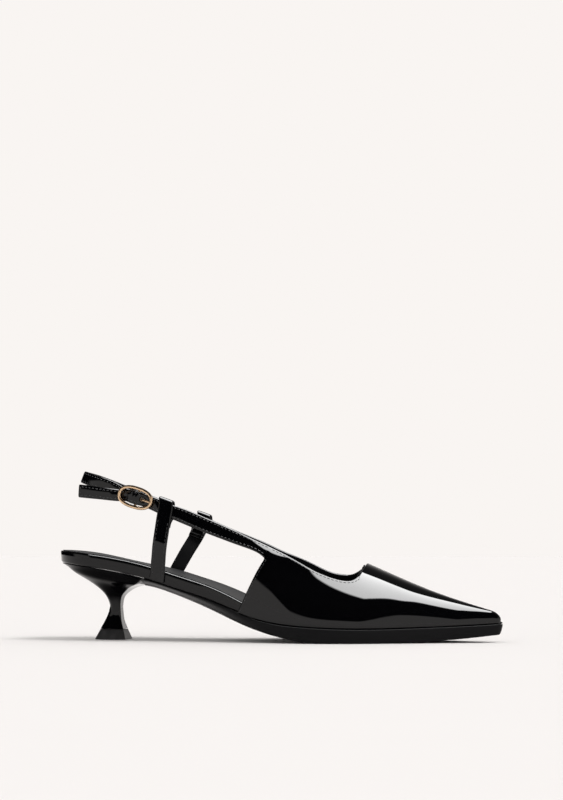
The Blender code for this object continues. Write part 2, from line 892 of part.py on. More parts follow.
def wire(name, path, radius, closed, finish, group=shoe_parts, sides=3):
    """A round wire along a path."""
    shape = bpy.data.curves.new(name, "CURVE")
    shape.dimensions = "3D"
    shape.bevel_depth = radius * MM
    shape.bevel_resolution = sides
    shape.use_fill_caps = True
    line = shape.splines.new("POLY")
    line.points.add(len(path) - 1)
    for knot, at in zip(line.points, path):
        knot.co = (*to_metres(at), 1.0)
    line.use_cyclic_u = closed
    made = bpy.data.objects.new(name, shape)
    group.objects.link(made)
    shape.materials.append(finish)
    return made


def as_mesh(made):
    """The same object with its curve turned into a mesh."""
    ready = made.evaluated_get(bpy.context.evaluated_depsgraph_get())
    mesh = bpy.data.meshes.new_from_object(ready)
    name = made.name
    groups = list(made.users_collection)
    bpy.data.objects.remove(made, do_unlink=True)
    swapped = bpy.data.objects.new(name, mesh)
    for group in groups:
        group.objects.link(swapped)
    return swapped


def combine(target, other, operation):
    step = target.modifiers.new(operation.lower(), "BOOLEAN")
    step.operation = operation
    step.solver = "EXACT"
    step.object = other
    other.hide_render = True
    other.display_type = "WIRE"


FRAME_STEPS = 40


def buckle_frame():
    ring = []
    for turn in np.linspace(0.0, 2.0 * math.pi, FRAME_STEPS, endpoint=False):
        cos, sin = math.cos(turn), math.sin(turn)
        power = 2.0 / FRAME_SQUARE
        ahead = FRAME_HALF_LENGTH * math.copysign(abs(cos) ** power, cos)
        height = FRAME_HALF_HEIGHT * math.copysign(abs(sin) ** power, sin)
        ring.append(buckle_point(ahead, height, FRAME_OUT))
    frame = as_mesh(wire("buckle_frame", ring, FRAME_RADIUS, True, gold))
    half_bar = [(FRAME_HALF_HEIGHT, FRAME_OUT)]
    for turn in np.linspace(0.0, math.pi / 2.0, BAR_BEND_STEPS):
        height = FRAME_HALF_HEIGHT - BAR_BEND + BAR_BEND * math.cos(turn)
        half_bar.append((height, BAR_OUT + BAR_BEND - BAR_BEND * math.sin(turn)))
    other_half = [(-height, out) for height, out in half_bar[::-1]]
    bar_path = [buckle_point(0.0, height, out) for height, out in half_bar + other_half]
    bar = as_mesh(wire("buckle_bar_form", bar_path, BAR_RADIUS, False, gold, cutters))
    combine(frame, bar, "UNION")
    return frame


def buckle_prong():
    at = curves(PRONG_PATH, np.arange(len(PRONG_PATH)))
    steps = np.linspace(0.0, len(PRONG_PATH) - 1.0, PRONG_STEPS + 1)
    path = [buckle_point(at["ahead"](step), 0.0, at["out"](step)) for step in steps]
    return as_mesh(wire("buckle_prong", path, PRONG_RADIUS, False, gold, sides=2))


def prong_hole():
    path = [buckle_point(HOLE_ALONG, 0.0, out) for out in (-HOLE_DEPTH, HOLE_DEPTH)]
    return as_mesh(wire("prong_hole_cutter", path, HOLE_RADIUS, False, patent, cutters))


# Sling strap


def sling():
    """Round the back of the foot, over the buckle's bar and folded back behind itself."""
    at = curves(SLING, np.arange(len(SLING)))
    centres = []
    for step in np.linspace(0.0, len(SLING) - 1.0, SLING_STEPS * (len(SLING) - 1) + 1):
        centre = np.array([at["along"](step), at["across"](step), at["up"](step)])
        centres.append((centre, at["width"](step)))
    wrap = BAR_RADIUS + GAP + SLING_WALL
    fold = list(FOLD_START)
    for turn in np.linspace(0.0, math.pi, FOLD_TURN_STEPS + 1):
        fold.append((wrap * math.sin(turn), BAR_OUT + wrap * math.cos(turn)))
    fold += FOLD_END
    centres += [(buckle_point(ahead, 0.0, out), FOLD_WIDTH) for ahead, out in fold]
    edges = []
    for number, (centre, width) in enumerate(centres):
        before = centres[max(number - 1, 0)][0]
        after = centres[min(number + 1, len(centres) - 1)][0]
        run = (after - before) / np.linalg.norm(after - before)
        if number < len(centres) - len(fold):
            across = np.array(SLING_LEAN) - run * np.dot(run, SLING_LEAN)
            across = across / np.linalg.norm(across)
        else:
            across = upward
        edges.append((centre + across * width / 2.0, centre - across * width / 2.0))
    made = ribbon("sling_strap", edges, patent, SLING_WALL)
    corners = []
    for ahead in (SLOT_BACK, SLOT_FRONT):
        for height in (-SLOT_HALF_WIDTH, SLOT_HALF_WIDTH):
            for out in (BAR_OUT - SLOT_DEPTH, BAR_OUT + SLOT_DEPTH):
                corners.append(buckle_point(ahead, height, out))
    box = [(0, 1, 3, 2), (4, 6, 7, 5), (0, 4, 5, 1), (2, 3, 7, 6), (0, 2, 6, 4), (1, 5, 7, 3)]
    slot = mesh_object("prong_slot_cutter", corners, box, patent, cutters)
    combine(made, slot, "DIFFERENCE")
    return made


# Stays


def stay(side):
    """Up the edge of the insole, out to the strap, over it and down behind its own leg."""
    row = STAYS[side]
    outside = row.strap_across + STAY_WALL + GAP + LOOP_SLACK
    inside = row.strap_across - UPPER_WALL - STAY_WALL - GAP - LOOP_SLACK
    tail_behind = 2.0 * STAY_WALL + GAP
    base = insole_base(row.foot_along)
    board = base + level["insole"](row.foot_along)
    heights = [np.interp(step.level, (0.0, 1.0, 2.0), (base, board, row.strap_low)) for step in STAY_PATH[side]]
    ways = [step.out for step in STAY_PATH[side]]
    path = [(up, way, outside, 0.0) for up, way in zip(heights, ways)]
    over = (outside - inside) / 2.0
    power = 2.0 / LOOP_SQUARE
    crown = row.strap_top + GAP + LOOP_CROWN + STAY_WALL - over
    for turn in np.linspace(0.0, math.pi, LOOP_STEPS + 1):
        cos, sin = math.cos(turn), max(math.sin(turn), 0.0)
        across = (outside + inside) / 2.0 + over * math.copysign(abs(cos) ** power, cos)
        path.append((crown + over * sin ** power, 1.0, across, 0.0))
    path.append((row.strap_low, 1.0, inside, 0.0))
    for step in STAY_TAIL_STEPS:
        up = row.strap_low - step
        path.append((up, np.interp(up, heights, ways), outside, tail_behind))
    half = STAY_WIDTH / 2.0 / math.hypot(1.0, STAY_SLOPE)
    edges = []
    for up, way, out, behind in path:
        middle = np.interp(up, (base, crown), (row.foot_along, row.loop_along))
        pair = []
        for step in (-half, half):
            foot = half_width(side, middle + step, 0.0) + GAP + STAY_WALL
            across = foot + (out - foot) * way - behind
            pair.append((middle + step, side * across, up + step * STAY_SLOPE))
        edges.append(pair if side == LATERAL else pair[::-1])
    return ribbon("stay_" + SIDE_NAME[side], edges, patent, STAY_WALL)


outsole()
insole()
heel()
heel_top_piece()
shoe_upper = upper()
combine(shoe_upper, prong_hole(), "DIFFERENCE")
sling()
stay(LATERAL)
stay(MEDIAL)
buckle_frame()
buckle_prong()
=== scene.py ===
# %% [markdown]
# # A patent slingback, cell by cell
# The frame holds ten plain solids with the right sizes. This lesson dresses them: each piece is built
# again as a finer mesh in the same place, and gets the finish that the real shoe has.

# %% Load the frame
import json
import math
from collections import namedtuple

import bmesh
import bpy
import numpy as np
from mathutils import Euler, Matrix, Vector
from mathutils.bvhtree import BVHTree

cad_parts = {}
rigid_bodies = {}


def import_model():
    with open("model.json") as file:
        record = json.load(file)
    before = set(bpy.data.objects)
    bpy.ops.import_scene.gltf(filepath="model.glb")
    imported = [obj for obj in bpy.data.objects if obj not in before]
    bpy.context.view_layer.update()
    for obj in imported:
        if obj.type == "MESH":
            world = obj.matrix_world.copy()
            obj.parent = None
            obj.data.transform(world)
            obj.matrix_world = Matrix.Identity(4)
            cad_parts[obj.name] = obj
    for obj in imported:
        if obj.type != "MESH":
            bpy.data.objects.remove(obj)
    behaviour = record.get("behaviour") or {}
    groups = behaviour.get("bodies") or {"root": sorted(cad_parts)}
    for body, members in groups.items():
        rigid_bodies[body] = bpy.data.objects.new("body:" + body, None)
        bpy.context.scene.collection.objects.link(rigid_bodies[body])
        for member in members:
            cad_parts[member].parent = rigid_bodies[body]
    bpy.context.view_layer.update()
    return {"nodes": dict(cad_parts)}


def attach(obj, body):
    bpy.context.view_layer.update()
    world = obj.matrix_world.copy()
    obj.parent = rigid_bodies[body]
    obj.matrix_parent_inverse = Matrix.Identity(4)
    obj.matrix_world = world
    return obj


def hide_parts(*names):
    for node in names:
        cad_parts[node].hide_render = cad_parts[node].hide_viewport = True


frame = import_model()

print("nodes in the frame:", ", ".join(sorted(frame["nodes"])))

# %% [markdown]
# ## The camera
# The shoe was photographed from its outer side with a long lens, close to the floor and turned 11
# degrees towards the toe. A camera that looks a little upwards puts the shoe low in the tall frame, and
# needs no lens shift, so the shoe stays in the middle of the frame in every other view.

# %% Place the camera
EYE_TURN = math.radians(11.0)
EYE_DISTANCE = 1.1
EYE_HEIGHT = 0.050
LOOK_UP = math.radians(4.655)
LOOK_RIGHT = math.radians(0.12)
LENS_MM = 85.0

scene = bpy.context.scene
lens = bpy.data.cameras.new("camera")
lens.lens = LENS_MM
lens.sensor_width = 36.0
lens.clip_end = 100.0
camera = bpy.data.objects.new("camera", lens)
camera.location = (math.sin(EYE_TURN) * EYE_DISTANCE, -math.cos(EYE_TURN) * EYE_DISTANCE, EYE_HEIGHT)
camera.rotation_euler = Euler((math.pi / 2.0 + LOOK_UP, 0.0, EYE_TURN - LOOK_RIGHT))
scene.collection.objects.link(camera)
scene.camera = camera
print("camera at", [round(value, 3) for value in camera.location])

# %% [markdown]
# ## Shader maths in plain Python
# A finish is a small graph of nodes. Wiring it by hand hides the idea in bookkeeping, so one class wraps
# a socket and lets it be used in sums: `0.2 + 0.1 * noise` adds the two Math nodes by itself. Every other
# node comes from the `node` method, which sets the node's own options first and its sockets after.

# %% A socket that can be used in sums
MIX_SOCKETS = {"factor": 0, "first": 6, "second": 7, "result": 2}


class Wire:
    """One socket of a node tree, or the bare tree where a graph starts."""

    def __init__(self, tree, socket=None):
        self.tree = tree
        self.socket = socket

    def node(self, kind, settings=None, sockets=None, out=0):
        made = self.tree.nodes.new(kind)
        for name, value in (settings or {}).items():
            if name == "stops":
                set_stops(made.color_ramp, value)
            else:
                setattr(made, name, value)
        for name, value in (sockets or {}).items():
            if isinstance(value, Wire):
                self.tree.links.new(value.socket, made.inputs[name])
            else:
                made.inputs[name].default_value = value
        return Wire(self.tree, made.outputs[out] if len(made.outputs) else None)

    def maths(self, operation, *values):
        return self.node("ShaderNodeMath", {"operation": operation}, dict(enumerate(values)))

    def __add__(self, other):
        return self.maths("ADD", self, other)

    def __radd__(self, other):
        return self.maths("ADD", other, self)

    def __sub__(self, other):
        return self.maths("SUBTRACT", self, other)

    def __rsub__(self, other):
        return self.maths("SUBTRACT", other, self)

    def __mul__(self, other):
        return self.maths("MULTIPLY", self, other)

    def __rmul__(self, other):
        return self.maths("MULTIPLY", other, self)

    def __truediv__(self, other):
        return self.maths("DIVIDE", self, other)

    def between(self, low, high):
        """0 below the low value, 1 above the high one, and a smooth step between them."""
        settings = {"interpolation_type": "SMOOTHSTEP"}
        return self.node("ShaderNodeMapRange", settings, {"Value": self, "From Min": low, "From Max": high})

    def blend(self, first, second):
        """The first colour where this wire is 0, the second where it is 1."""
        sockets = {
            MIX_SOCKETS["factor"]: self,
            MIX_SOCKETS["first"]: first,
            MIX_SOCKETS["second"]: second,
        }
        return self.node("ShaderNodeMix", {"data_type": "RGBA"}, sockets, MIX_SOCKETS["result"])


def set_stops(ramp, stops):
    while len(ramp.elements) < len(stops):
        ramp.elements.new(1.0)
    for element, (place, colour) in zip(ramp.elements, stops):
        element.position = place
        element.color = colour


def colour(red, green, blue):
    return (red, green, blue, 1.0)


def finish(name, surface):
    """A material whose surface comes from a function of an empty tree."""
    made = bpy.data.materials.new(name)
    made.use_nodes = True
    made.node_tree.nodes.clear()
    start = Wire(made.node_tree)
    start.node("ShaderNodeOutputMaterial", {}, {"Surface": surface(start)})
    print("finish", name, "with", len(made.node_tree.nodes), "nodes")
    return made


def noise(start, scale, detail=2.0, roughness=0.5):
    here = start.node("ShaderNodeTexCoord", out="Object")
    sockets = {"Vector": here, "Scale": scale, "Detail": detail, "Roughness": roughness}
    return start.node("ShaderNodeTexNoise", {}, sockets, "Fac")


def bumped(start, height, strength, distance):
    sockets = {"Strength": strength, "Distance": distance, "Height": height}
    return start.node("ShaderNodeBump", {}, sockets, "Normal")


def unlacquered(start, tone, roughness, mirror, normal):
    """Bare leather, rubber or thread: a weak mirror of a given strength and no coat."""
    sockets = {"Base Color": tone, "Roughness": roughness, "Specular IOR Level": mirror, "Normal": normal}
    return start.node("ShaderNodeBsdfPrincipled", {}, sockets)


# %% [markdown]
# ## The studio
# A black glossy shoe is drawn almost only by what it mirrors. In the photograph that is a white floor,
# low white cards to the left and right of the camera, a white sweep that fades upwards behind the shoe,
# one large softbox overhead, and darkness elsewhere. The world therefore looks pale to the camera and to
# matt surfaces, but mostly dark to mirror rays. A soft sun, which mirrors do not see, throws the shadow.

# %% Sweep and cards
BACKGROUND = colour(0.947, 0.913, 0.888)
DAYLIGHT = 0.83
DARK_ROOM = colour(0.0, 0.0, 0.0)
SWEEP_FADE = (0.04, 0.72)
SWEEP_DEPTH = 0.92
SWEEP_LEFT_END = (-0.6, -0.3)
BEHIND_EDGE = (-0.02, 0.02)
CARD_LOW = 0.07
CARD_SOFT = 0.02
LEFT_CARD_EDGE = (-0.42, -0.34)
LEFT_CARD_RISE = 0.085
FAR_CARD_EDGE = (-0.72, -0.62)
FAR_CARD_RISE = 0.12
FAR_CARD_END = (-0.97, -0.91)
RIGHT_CARD_EDGE = (-0.45, 0.05)
RIGHT_CARD_RISE = 0.42
RIGHT_CARD_LIFT = 0.04
RIGHT_CARD_START = (-0.2, 0.25)


def world_light(start):
    way = start.node("ShaderNodeTexCoord", out="Generated")
    split = start.node("ShaderNodeSeparateXYZ", {}, {"Vector": way})
    right, back, up = (Wire(start.tree, split.socket.node.outputs[axis]) for axis in "XYZ")
    behind = back.between(*BEHIND_EDGE)
    sweep = behind * right.between(*SWEEP_LEFT_END) * (1.0 - SWEEP_DEPTH * up.between(*SWEEP_FADE))
    left_rise = LEFT_CARD_RISE * (1.0 - right.between(*LEFT_CARD_EDGE))
    far_rise = FAR_CARD_RISE * (1.0 - right.between(*FAR_CARD_EDGE))
    right_rise = RIGHT_CARD_RISE * (right + back).between(*RIGHT_CARD_EDGE)
    right_rise = right_rise + RIGHT_CARD_LIFT * right.between(*RIGHT_CARD_START)
    above_card = up - (CARD_LOW + left_rise + far_rise + right_rise)
    shown = 1.0 - above_card.between(-CARD_SOFT, CARD_SOFT)
    cards = (1.0 - behind) * right.between(*FAR_CARD_END) * shown
    mirrored = (sweep + cards).blend(DARK_ROOM, BACKGROUND)
    rays = start.node("ShaderNodeLightPath", out="Is Glossy Ray")
    seen = rays.socket.node.outputs["Is Camera Ray"]
    matt = start.node("ShaderNodeBackground", {}, {"Color": colour(1.0, 1.0, 1.0), "Strength": DAYLIGHT})
    mirror = start.node("ShaderNodeBackground", {}, {"Color": mirrored, "Strength": 1.0})
    plain = start.node("ShaderNodeBackground", {}, {"Color": BACKGROUND, "Strength": 1.0})
    lit = start.node("ShaderNodeMixShader", {}, {0: rays, 1: matt, 2: mirror})
    return start.node("ShaderNodeMixShader", {}, {0: Wire(start.tree, seen), 1: lit, 2: plain})


room = bpy.data.worlds.new("studio")
room.use_nodes = True
room.node_tree.nodes.clear()
room_start = Wire(room.node_tree)
room_start.node("ShaderNodeOutputWorld", {}, {"Surface": world_light(room_start)})
scene.world = room
scene.view_settings.view_transform = "Standard"
print("studio world with", len(room.node_tree.nodes), "nodes")

# %% [markdown]
# ## The softbox
# The long highlights on the vamp and at the root of the strap are the mirror image of one softbox. Its
# glow fades at the near edge and is bent like half an ellipse at the far one, which gives the highlights
# their curved ends. It is hidden from matt surfaces, so it draws highlights and adds no other light.

# %% Softbox overhead
SOFTBOX_AT = (0.10, 0.065, 1.02)
SOFTBOX_SIZE = (0.92, 1.09)
SOFTBOX_WATTS = 49.8
SOFTBOX_EDGE = 0.08
SOFTBOX_BEND = 0.578
SOFTBOX_SIDE = (0.9, 1.0)


def softbox_glow(start):
    place = start.node("ShaderNodeNewGeometry", out="Parametric")
    width = start.node("ShaderNodeSeparateXYZ", {}, {"Vector": place})
    depth = Wire(start.tree, width.socket.node.outputs["Y"])
    side = width * 2.0 - 1.0
    beyond = depth - SOFTBOX_BEND
    far = beyond.maths("MAXIMUM", beyond, 0.0) / (1.0 - SOFTBOX_BEND)
    shown = 1.0 - (side * side + far * far).between(*SOFTBOX_SIDE)
    glow = (shown * depth.between(0.0, SOFTBOX_EDGE)).blend(DARK_ROOM, colour(1.0, 1.0, 1.0))
    return start.node("ShaderNodeEmission", {}, {"Color": glow, "Strength": 1.0})


softbox = bpy.data.lights.new("softbox", "AREA")
softbox.shape = "RECTANGLE"
softbox.size, softbox.size_y = SOFTBOX_SIZE
softbox.energy = SOFTBOX_WATTS
softbox_place = bpy.data.objects.new("softbox", softbox)
softbox_place.location = SOFTBOX_AT
softbox_place.visible_diffuse = False
scene.collection.objects.link(softbox_place)
softbox.use_nodes = True
softbox.node_tree.nodes.clear()
box_start = Wire(softbox.node_tree)
box_start.node("ShaderNodeOutputLight", {}, {"Surface": softbox_glow(box_start)})
print("softbox of", SOFTBOX_SIZE, "metres at", SOFTBOX_AT)

# %% [markdown]
# ## Sun and floor
# The shadow under the shoe is soft and falls a little to the left, so the sun is wide and stands to the
# right. The floor is plain pale paper, large enough that its far edge comes close to the horizon.

# %% Sun and floor
FLOOR_COLOUR = colour(0.80, 0.771, 0.754)
FLOOR_RADIUS = 30.0
FLOOR_SEGMENTS = 96
FIBRE_SHADE = 0.995
SUN_FROM = (0.46, -0.06, 0.86)
SUN_WIDTH = math.radians(20.0)
SUN_STRENGTH = 1.29

sun = bpy.data.lights.new("sun", "SUN")
sun.energy = SUN_STRENGTH
sun.angle = SUN_WIDTH
sun_place = bpy.data.objects.new("sun", sun)
sun_place.rotation_euler = Vector(SUN_FROM).to_track_quat("Z", "Y").to_euler()
sun_place.visible_glossy = False
scene.collection.objects.link(sun_place)


def paper(start):
    fibres = noise(start, 420.0, 4.0)
    tone = fibres.blend(FLOOR_COLOUR, tuple(FIBRE_SHADE * value for value in FLOOR_COLOUR))
    sockets = {"Base Color": tone, "Roughness": 1.0, "Specular IOR Level": 0.0}
    return start.node("ShaderNodeBsdfPrincipled", {}, sockets)


def make_floor():
    shape = bmesh.new()
    bmesh.ops.create_circle(shape, cap_ends=True, radius=FLOOR_RADIUS, segments=FLOOR_SEGMENTS)
    mesh = bpy.data.meshes.new("floor")
    shape.to_mesh(mesh)
    shape.free()
    mesh.materials.append(finish("paper_floor", paper))
    made = bpy.data.objects.new("floor", mesh)
    scene.collection.objects.link(made)


make_floor()

# %% [markdown]
# ## Curves and the last
# Shoes are drawn round a last, the form of the foot. Its outline and heights are short tables, and smooth
# splines run through their rows. Every piece that follows is worked out from these curves, in
# millimetres: "along" from the heel to the toe, "across" negative on the outer side, and "up".

# %% Splines through tables
MM = 0.001
BACK = -2.1
TIP = 257.4
MIDDLE = (TIP + BACK) / 2.0
GAP = 0.3
LATERAL = -1
MEDIAL = 1
SIDES = (LATERAL, MEDIAL)
SIDE_NAME = {LATERAL: "lateral", MEDIAL: "medial"}


def table(columns, *rows):
    row_type = namedtuple("Row", columns)
    return [row_type(*row) for row in rows]


def spline(places, values):
    """A natural cubic spline; values may be numbers or points."""
    places = np.asarray(places, float)
    values = np.asarray(values, float)
    flat = values.reshape(len(places), -1)
    step = np.diff(places)
    slope = np.diff(flat, axis=0) / step[:, None]
    left = np.eye(len(places))
    right = np.zeros_like(flat)
    for row in range(1, len(places) - 1):
        left[row, row - 1] = step[row - 1]
        left[row, row] = 2.0 * (step[row - 1] + step[row])
        left[row, row + 1] = step[row]
        right[row] = 6.0 * (slope[row] - slope[row - 1])
    bend = np.linalg.solve(left, right)

    def value(place):
        place = np.clip(np.asarray(place, float), places[0], places[-1])
        row = np.clip(np.searchsorted(places, place) - 1, 0, len(places) - 2)
        size = step[row][..., None]
        behind = ((place - places[row]) / step[row])[..., None]
        ahead = 1.0 - behind
        curve = (ahead ** 3 - ahead) * bend[row] + (behind ** 3 - behind) * bend[row + 1]
        made = ahead * flat[row] + behind * flat[row + 1] + curve * size * size / 6.0
        return made.reshape(place.shape + values.shape[1:])

    return value


def curves(rows, places=None):
    values = np.array(rows, float)
    if places is None:
        places = values[:, 0]
    return {name: spline(places, values[:, at]) for at, name in enumerate(rows[0]._fields)}


# %% The last's outline and levels
EDGE_ROUND = 1.6
ROUND_SAMPLES = 241
HEEL_RADIUS = 23.9
HEEL_CENTRE = BACK + HEEL_RADIUS + EDGE_ROUND
UPPER_WALL = 1.6
UPPER_MARGIN = GAP + UPPER_WALL
WELT = 1.0
SOLE_MARGIN = UPPER_MARGIN + WELT
APEX = TIP - EDGE_ROUND - SOLE_MARGIN
UPPER_TIP = APEX + EDGE_ROUND + UPPER_MARGIN
OUTLINE = table(
    "along lateral medial",
    (12.0, 23.6, 23.6), (25.0, 23.9, 23.9), (42.0, 23.9, 23.2), (58.0, 23.2, 21.3),
    (74.0, 22.4, 18.9), (90.0, 23.0, 17.6), (105.0, 25.7, 18.9), (120.0, 29.2, 22.6),
    (135.0, 32.1, 27.2), (150.0, 33.6, 31.2), (162.0, 33.3, 33.3), (172.0, 31.7, 33.3),
    (185.0, 27.7, 30.6), (200.0, 21.7, 25.5), (215.0, 15.2, 19.2), (230.0, 9.0, 12.7),
    (242.0, 4.2, 7.0), (APEX, -0.9, 0.9),
)
LEVELS = table(
    "along sole_top insole",
    (BACK, 45.2, 6.9), (14.0, 43.2, 7.2), (36.0, 39.9, 7.4), (58.0, 34.7, 7.5), (75.0, 29.3, 7.5),
    (90.0, 24.6, 7.5), (105.0, 19.0, 7.0), (120.0, 13.4, 5.6), (135.0, 10.2, 4.2), (150.0, 8.8, 3.4),
    (170.0, 7.9, 3.0), (190.0, 7.8, 3.0), (210.0, 8.3, 3.0), (235.0, 9.2, 3.0), (TIP, 10.4, 3.0),
)
outline = curves(OUTLINE)
level = curves(LEVELS)


def wedge(side, along):
    """Half width of the last's bottom before its edge is rounded."""
    seat = np.sqrt(np.maximum(HEEL_RADIUS ** 2 - (HEEL_CENTRE - along) ** 2, 0.0))
    return np.where(along < HEEL_CENTRE, seat, outline[SIDE_NAME[side]](along))


def half_width(side, along, margin):
    """Half width of a layer that stands out from the last's bottom by a margin."""
    along = np.asarray(along, float)[..., None]
    radius = EDGE_ROUND + np.asarray(margin, float)[..., None]
    shift = radius * np.linspace(-1.0, 1.0, ROUND_SAMPLES)
    place = along + shift
    reach = wedge(side, place) + np.sqrt(np.maximum(radius ** 2 - shift ** 2, 0.0))
    on_last = (place >= BACK + EDGE_ROUND - 1e-6) & (place <= APEX + 1e-6)
    return np.where(on_last, reach, -radius).max(axis=-1)


def sole_top(along):
    return level["sole_top"](along)


ball = max(OUTLINE, key=lambda row: row.lateral + row.medial)
print("ball width in mm:", ball.lateral + ball.medial, "at", ball.along)

# %% [markdown]
# ## From points to pieces
# A piece is a grid of points with faces between its neighbours. Thin leather is modelled as its outer
# face only: Solidify gives it its wall, and one level of subdivision rounds the cut edges the way a
# folded and inked edge is rounded. The faces behind can take a second finish, which is the lining.

# %% Mesh helpers


def to_metres(points):
    return (np.asarray(points, float) - (MIDDLE, 0.0, 0.0)) * MM


def quads(index):
    """Faces between the neighbours of a grid of point numbers."""
    corners = (index[:-1, :-1], index[:-1, 1:], index[1:, 1:], index[1:, :-1])
    return np.stack(corners, axis=-1).reshape(-1, 4).tolist()


def closed(index):
    """The same grid with its first column repeated at its end."""
    return np.concatenate([index, index[:, :1]], axis=1)


def piece(name, points, faces, finishes, slot, node=None):
    mesh = bpy.data.meshes.new(name)
    mesh.from_pydata(to_metres(points).tolist(), [], faces)
    shape = bmesh.new()
    shape.from_mesh(mesh)
    bmesh.ops.remove_doubles(shape, verts=shape.verts, dist=1e-6)
    loose = [point for point in shape.verts if not point.link_faces]
    bmesh.ops.delete(shape, geom=loose, context="VERTS")
    shape.to_mesh(mesh)
    shape.free()
    mesh.shade_smooth()
    for look in finishes:
        mesh.materials.append(look)
    made = bpy.data.objects.new(name, mesh)
    scene.collection.objects.link(made)
    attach(made, "root")
    if node:
        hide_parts(node)
    print(name, "has", len(mesh.polygons), "faces")
    return made


def turn_outward(made):
    shape = bmesh.new()
    shape.from_mesh(made.data)
    bmesh.ops.recalc_face_normals(shape, faces=shape.faces)
    shape.to_mesh(made.data)
    shape.free()
    return made


def shell(made, wall, lined=False, inked=False):
    """Give a sheet its wall and soft edges."""
    body = made.modifiers.new("wall", "SOLIDIFY")
    body.thickness = wall * MM
    body.offset = -1.0
    body.use_quality_normals = True
    body.material_offset = 1 if lined else 0
    body.material_offset_rim = 1 if inked else 0
    rounded = made.modifiers.new("rounded_edges", "SUBSURF")
    rounded.levels = 1
    rounded.render_levels = 1
    return made


def unit(vectors):
    vectors = np.asarray(vectors, float)
    return vectors / np.maximum(np.linalg.norm(vectors, axis=-1, keepdims=True), 1e-12)


def fine_places(far, cell):
    """Every place of a line's knots, with even steps of about one cell between them."""
    places = [far[:1]]
    for start, end in zip(far, far[1:]):
        places.append(np.linspace(start, end, max(round((end - start) / cell), 1) + 1)[1:])
    return np.concatenate(places)


def chord(points):
    """Distance travelled along a line of points."""
    return np.concatenate([[0.0], np.cumsum(np.linalg.norm(np.diff(points, axis=0), axis=1))])


def at_places(places, travelled, line):
    """Points, or directions, of a line at given distances along it."""
    return np.stack([np.interp(places, travelled, line[:, axis]) for axis in range(3)], axis=-1)


# %% [markdown]
# ## Patent leather
# Patent is leather under a thick clear lacquer, so it mirrors like glass over black: a nearly black base
# with a smooth, weak mirror. The lacquer is not perfectly flat: a slow, shallow wave keeps the mirror
# image from looking machined, and a far finer one breaks up the edge of the highlights.

# %% Patent and lining finishes
LACQUER_IOR = 1.42
COAT_IOR = 2.2


def lacquer(mirror, smooth, coat=0.0):
    """A black lacquered surface with a given mirror strength, roughness and extra coat."""

    def surface(start):
        slow = noise(start, 55.0, 1.0)
        peel = noise(start, 700.0, 2.0)
        height = slow * 0.9 + peel * 0.03
        tone = noise(start, 30.0, 2.0).blend(colour(0.0009, 0.0009, 0.0012), colour(0.0015, 0.0015, 0.0019))
        sockets = {
            "Base Color": tone,
            "Roughness": smooth + 0.5 * smooth * peel,
            "IOR": LACQUER_IOR,
            "Specular IOR Level": mirror,
            "Coat Weight": coat,
            "Coat IOR": COAT_IOR,
            "Normal": bumped(start, height, 1.0, 0.00003),
        }
        return start.node("ShaderNodeBsdfPrincipled", {}, sockets)

    return surface


def lining_surface(start):
    grain = start.node(
        "ShaderNodeTexVoronoi",
        {"feature": "SMOOTH_F1"},
        {"Vector": start.node("ShaderNodeTexCoord", out="Object"), "Scale": 1500.0},
        "Distance",
    )
    pores = noise(start, 900.0, 3.0)
    normal = bumped(start, grain * 0.6 + pores * 0.4, 0.5, 0.0001)
    tone = noise(start, 60.0, 3.0).blend(colour(0.004, 0.004, 0.0045), colour(0.007, 0.007, 0.008))
    return unlacquered(start, tone, 0.5 + 0.12 * pores, 0.06, normal)


patent = finish("patent_leather", lacquer(0.5, 0.02))
lining = finish("black_lining", lining_surface)

# %% [markdown]
# ## The upper
# The vamp and both quarters are cut in one piece and pulled over the last. Each section runs from the
# ridge of the foot down to the feather edge, where the leather meets the sole. The columns of the grid
# start at the collar line and end at the feather edge, so the collar and the cut-outs are true edges of
# the mesh.

# %% Sections of the upper
NOSE_RADIUS = 5.4
NOSE_DROP = 3.6
FOOT_GAP = 0.05
SIDE_FADE = 12.0
SECTIONS = table(
    "along ridge ridge_across rise lean reach",
    (104.0, 89.0, 4.0, 0.46, 0.6, 1.02),
    (122.0, 76.5, 4.0, 0.46, 1.0, 0.96),
    (136.0, 67.2, 4.0, 0.46, 1.4, 0.84),
    (150.0, 58.8, 3.8, 0.47, 1.8, 0.66),
    (163.0, 52.0, 3.4, 0.48, 2.2, 0.53),
    (179.2, 45.0, 3.0, 0.50, 2.4, 0.45),
    (198.6, 36.6, 2.3, 0.52, 2.2, 0.43),
    (212.6, 30.8, 1.8, 0.53, 1.8, 0.43),
    (226.6, 25.7, 1.3, 0.54, 1.3, 0.43),
    (240.6, 21.2, 0.9, 0.55, 0.8, 0.43),
    (UPPER_TIP, 16.4, 0.9, 0.55, 0.3, 0.43),
)
section = curves(SECTIONS)


def ridge_up(along):
    """Height of the ridge, which turns down round the nose at the toe."""
    share = np.clip((along - UPPER_TIP + NOSE_RADIUS) / NOSE_RADIUS, 0.0, 1.0)
    return section["ridge"](along) - NOSE_DROP * (1.0 - np.sqrt(1.0 - share * share))


def bezier(share, values):
    rest = 1.0 - share
    weights = (share ** 3, 3.0 * share ** 2 * rest, 3.0 * share * rest ** 2, rest ** 3)
    return sum(weight * value for weight, value in zip(weights, values))


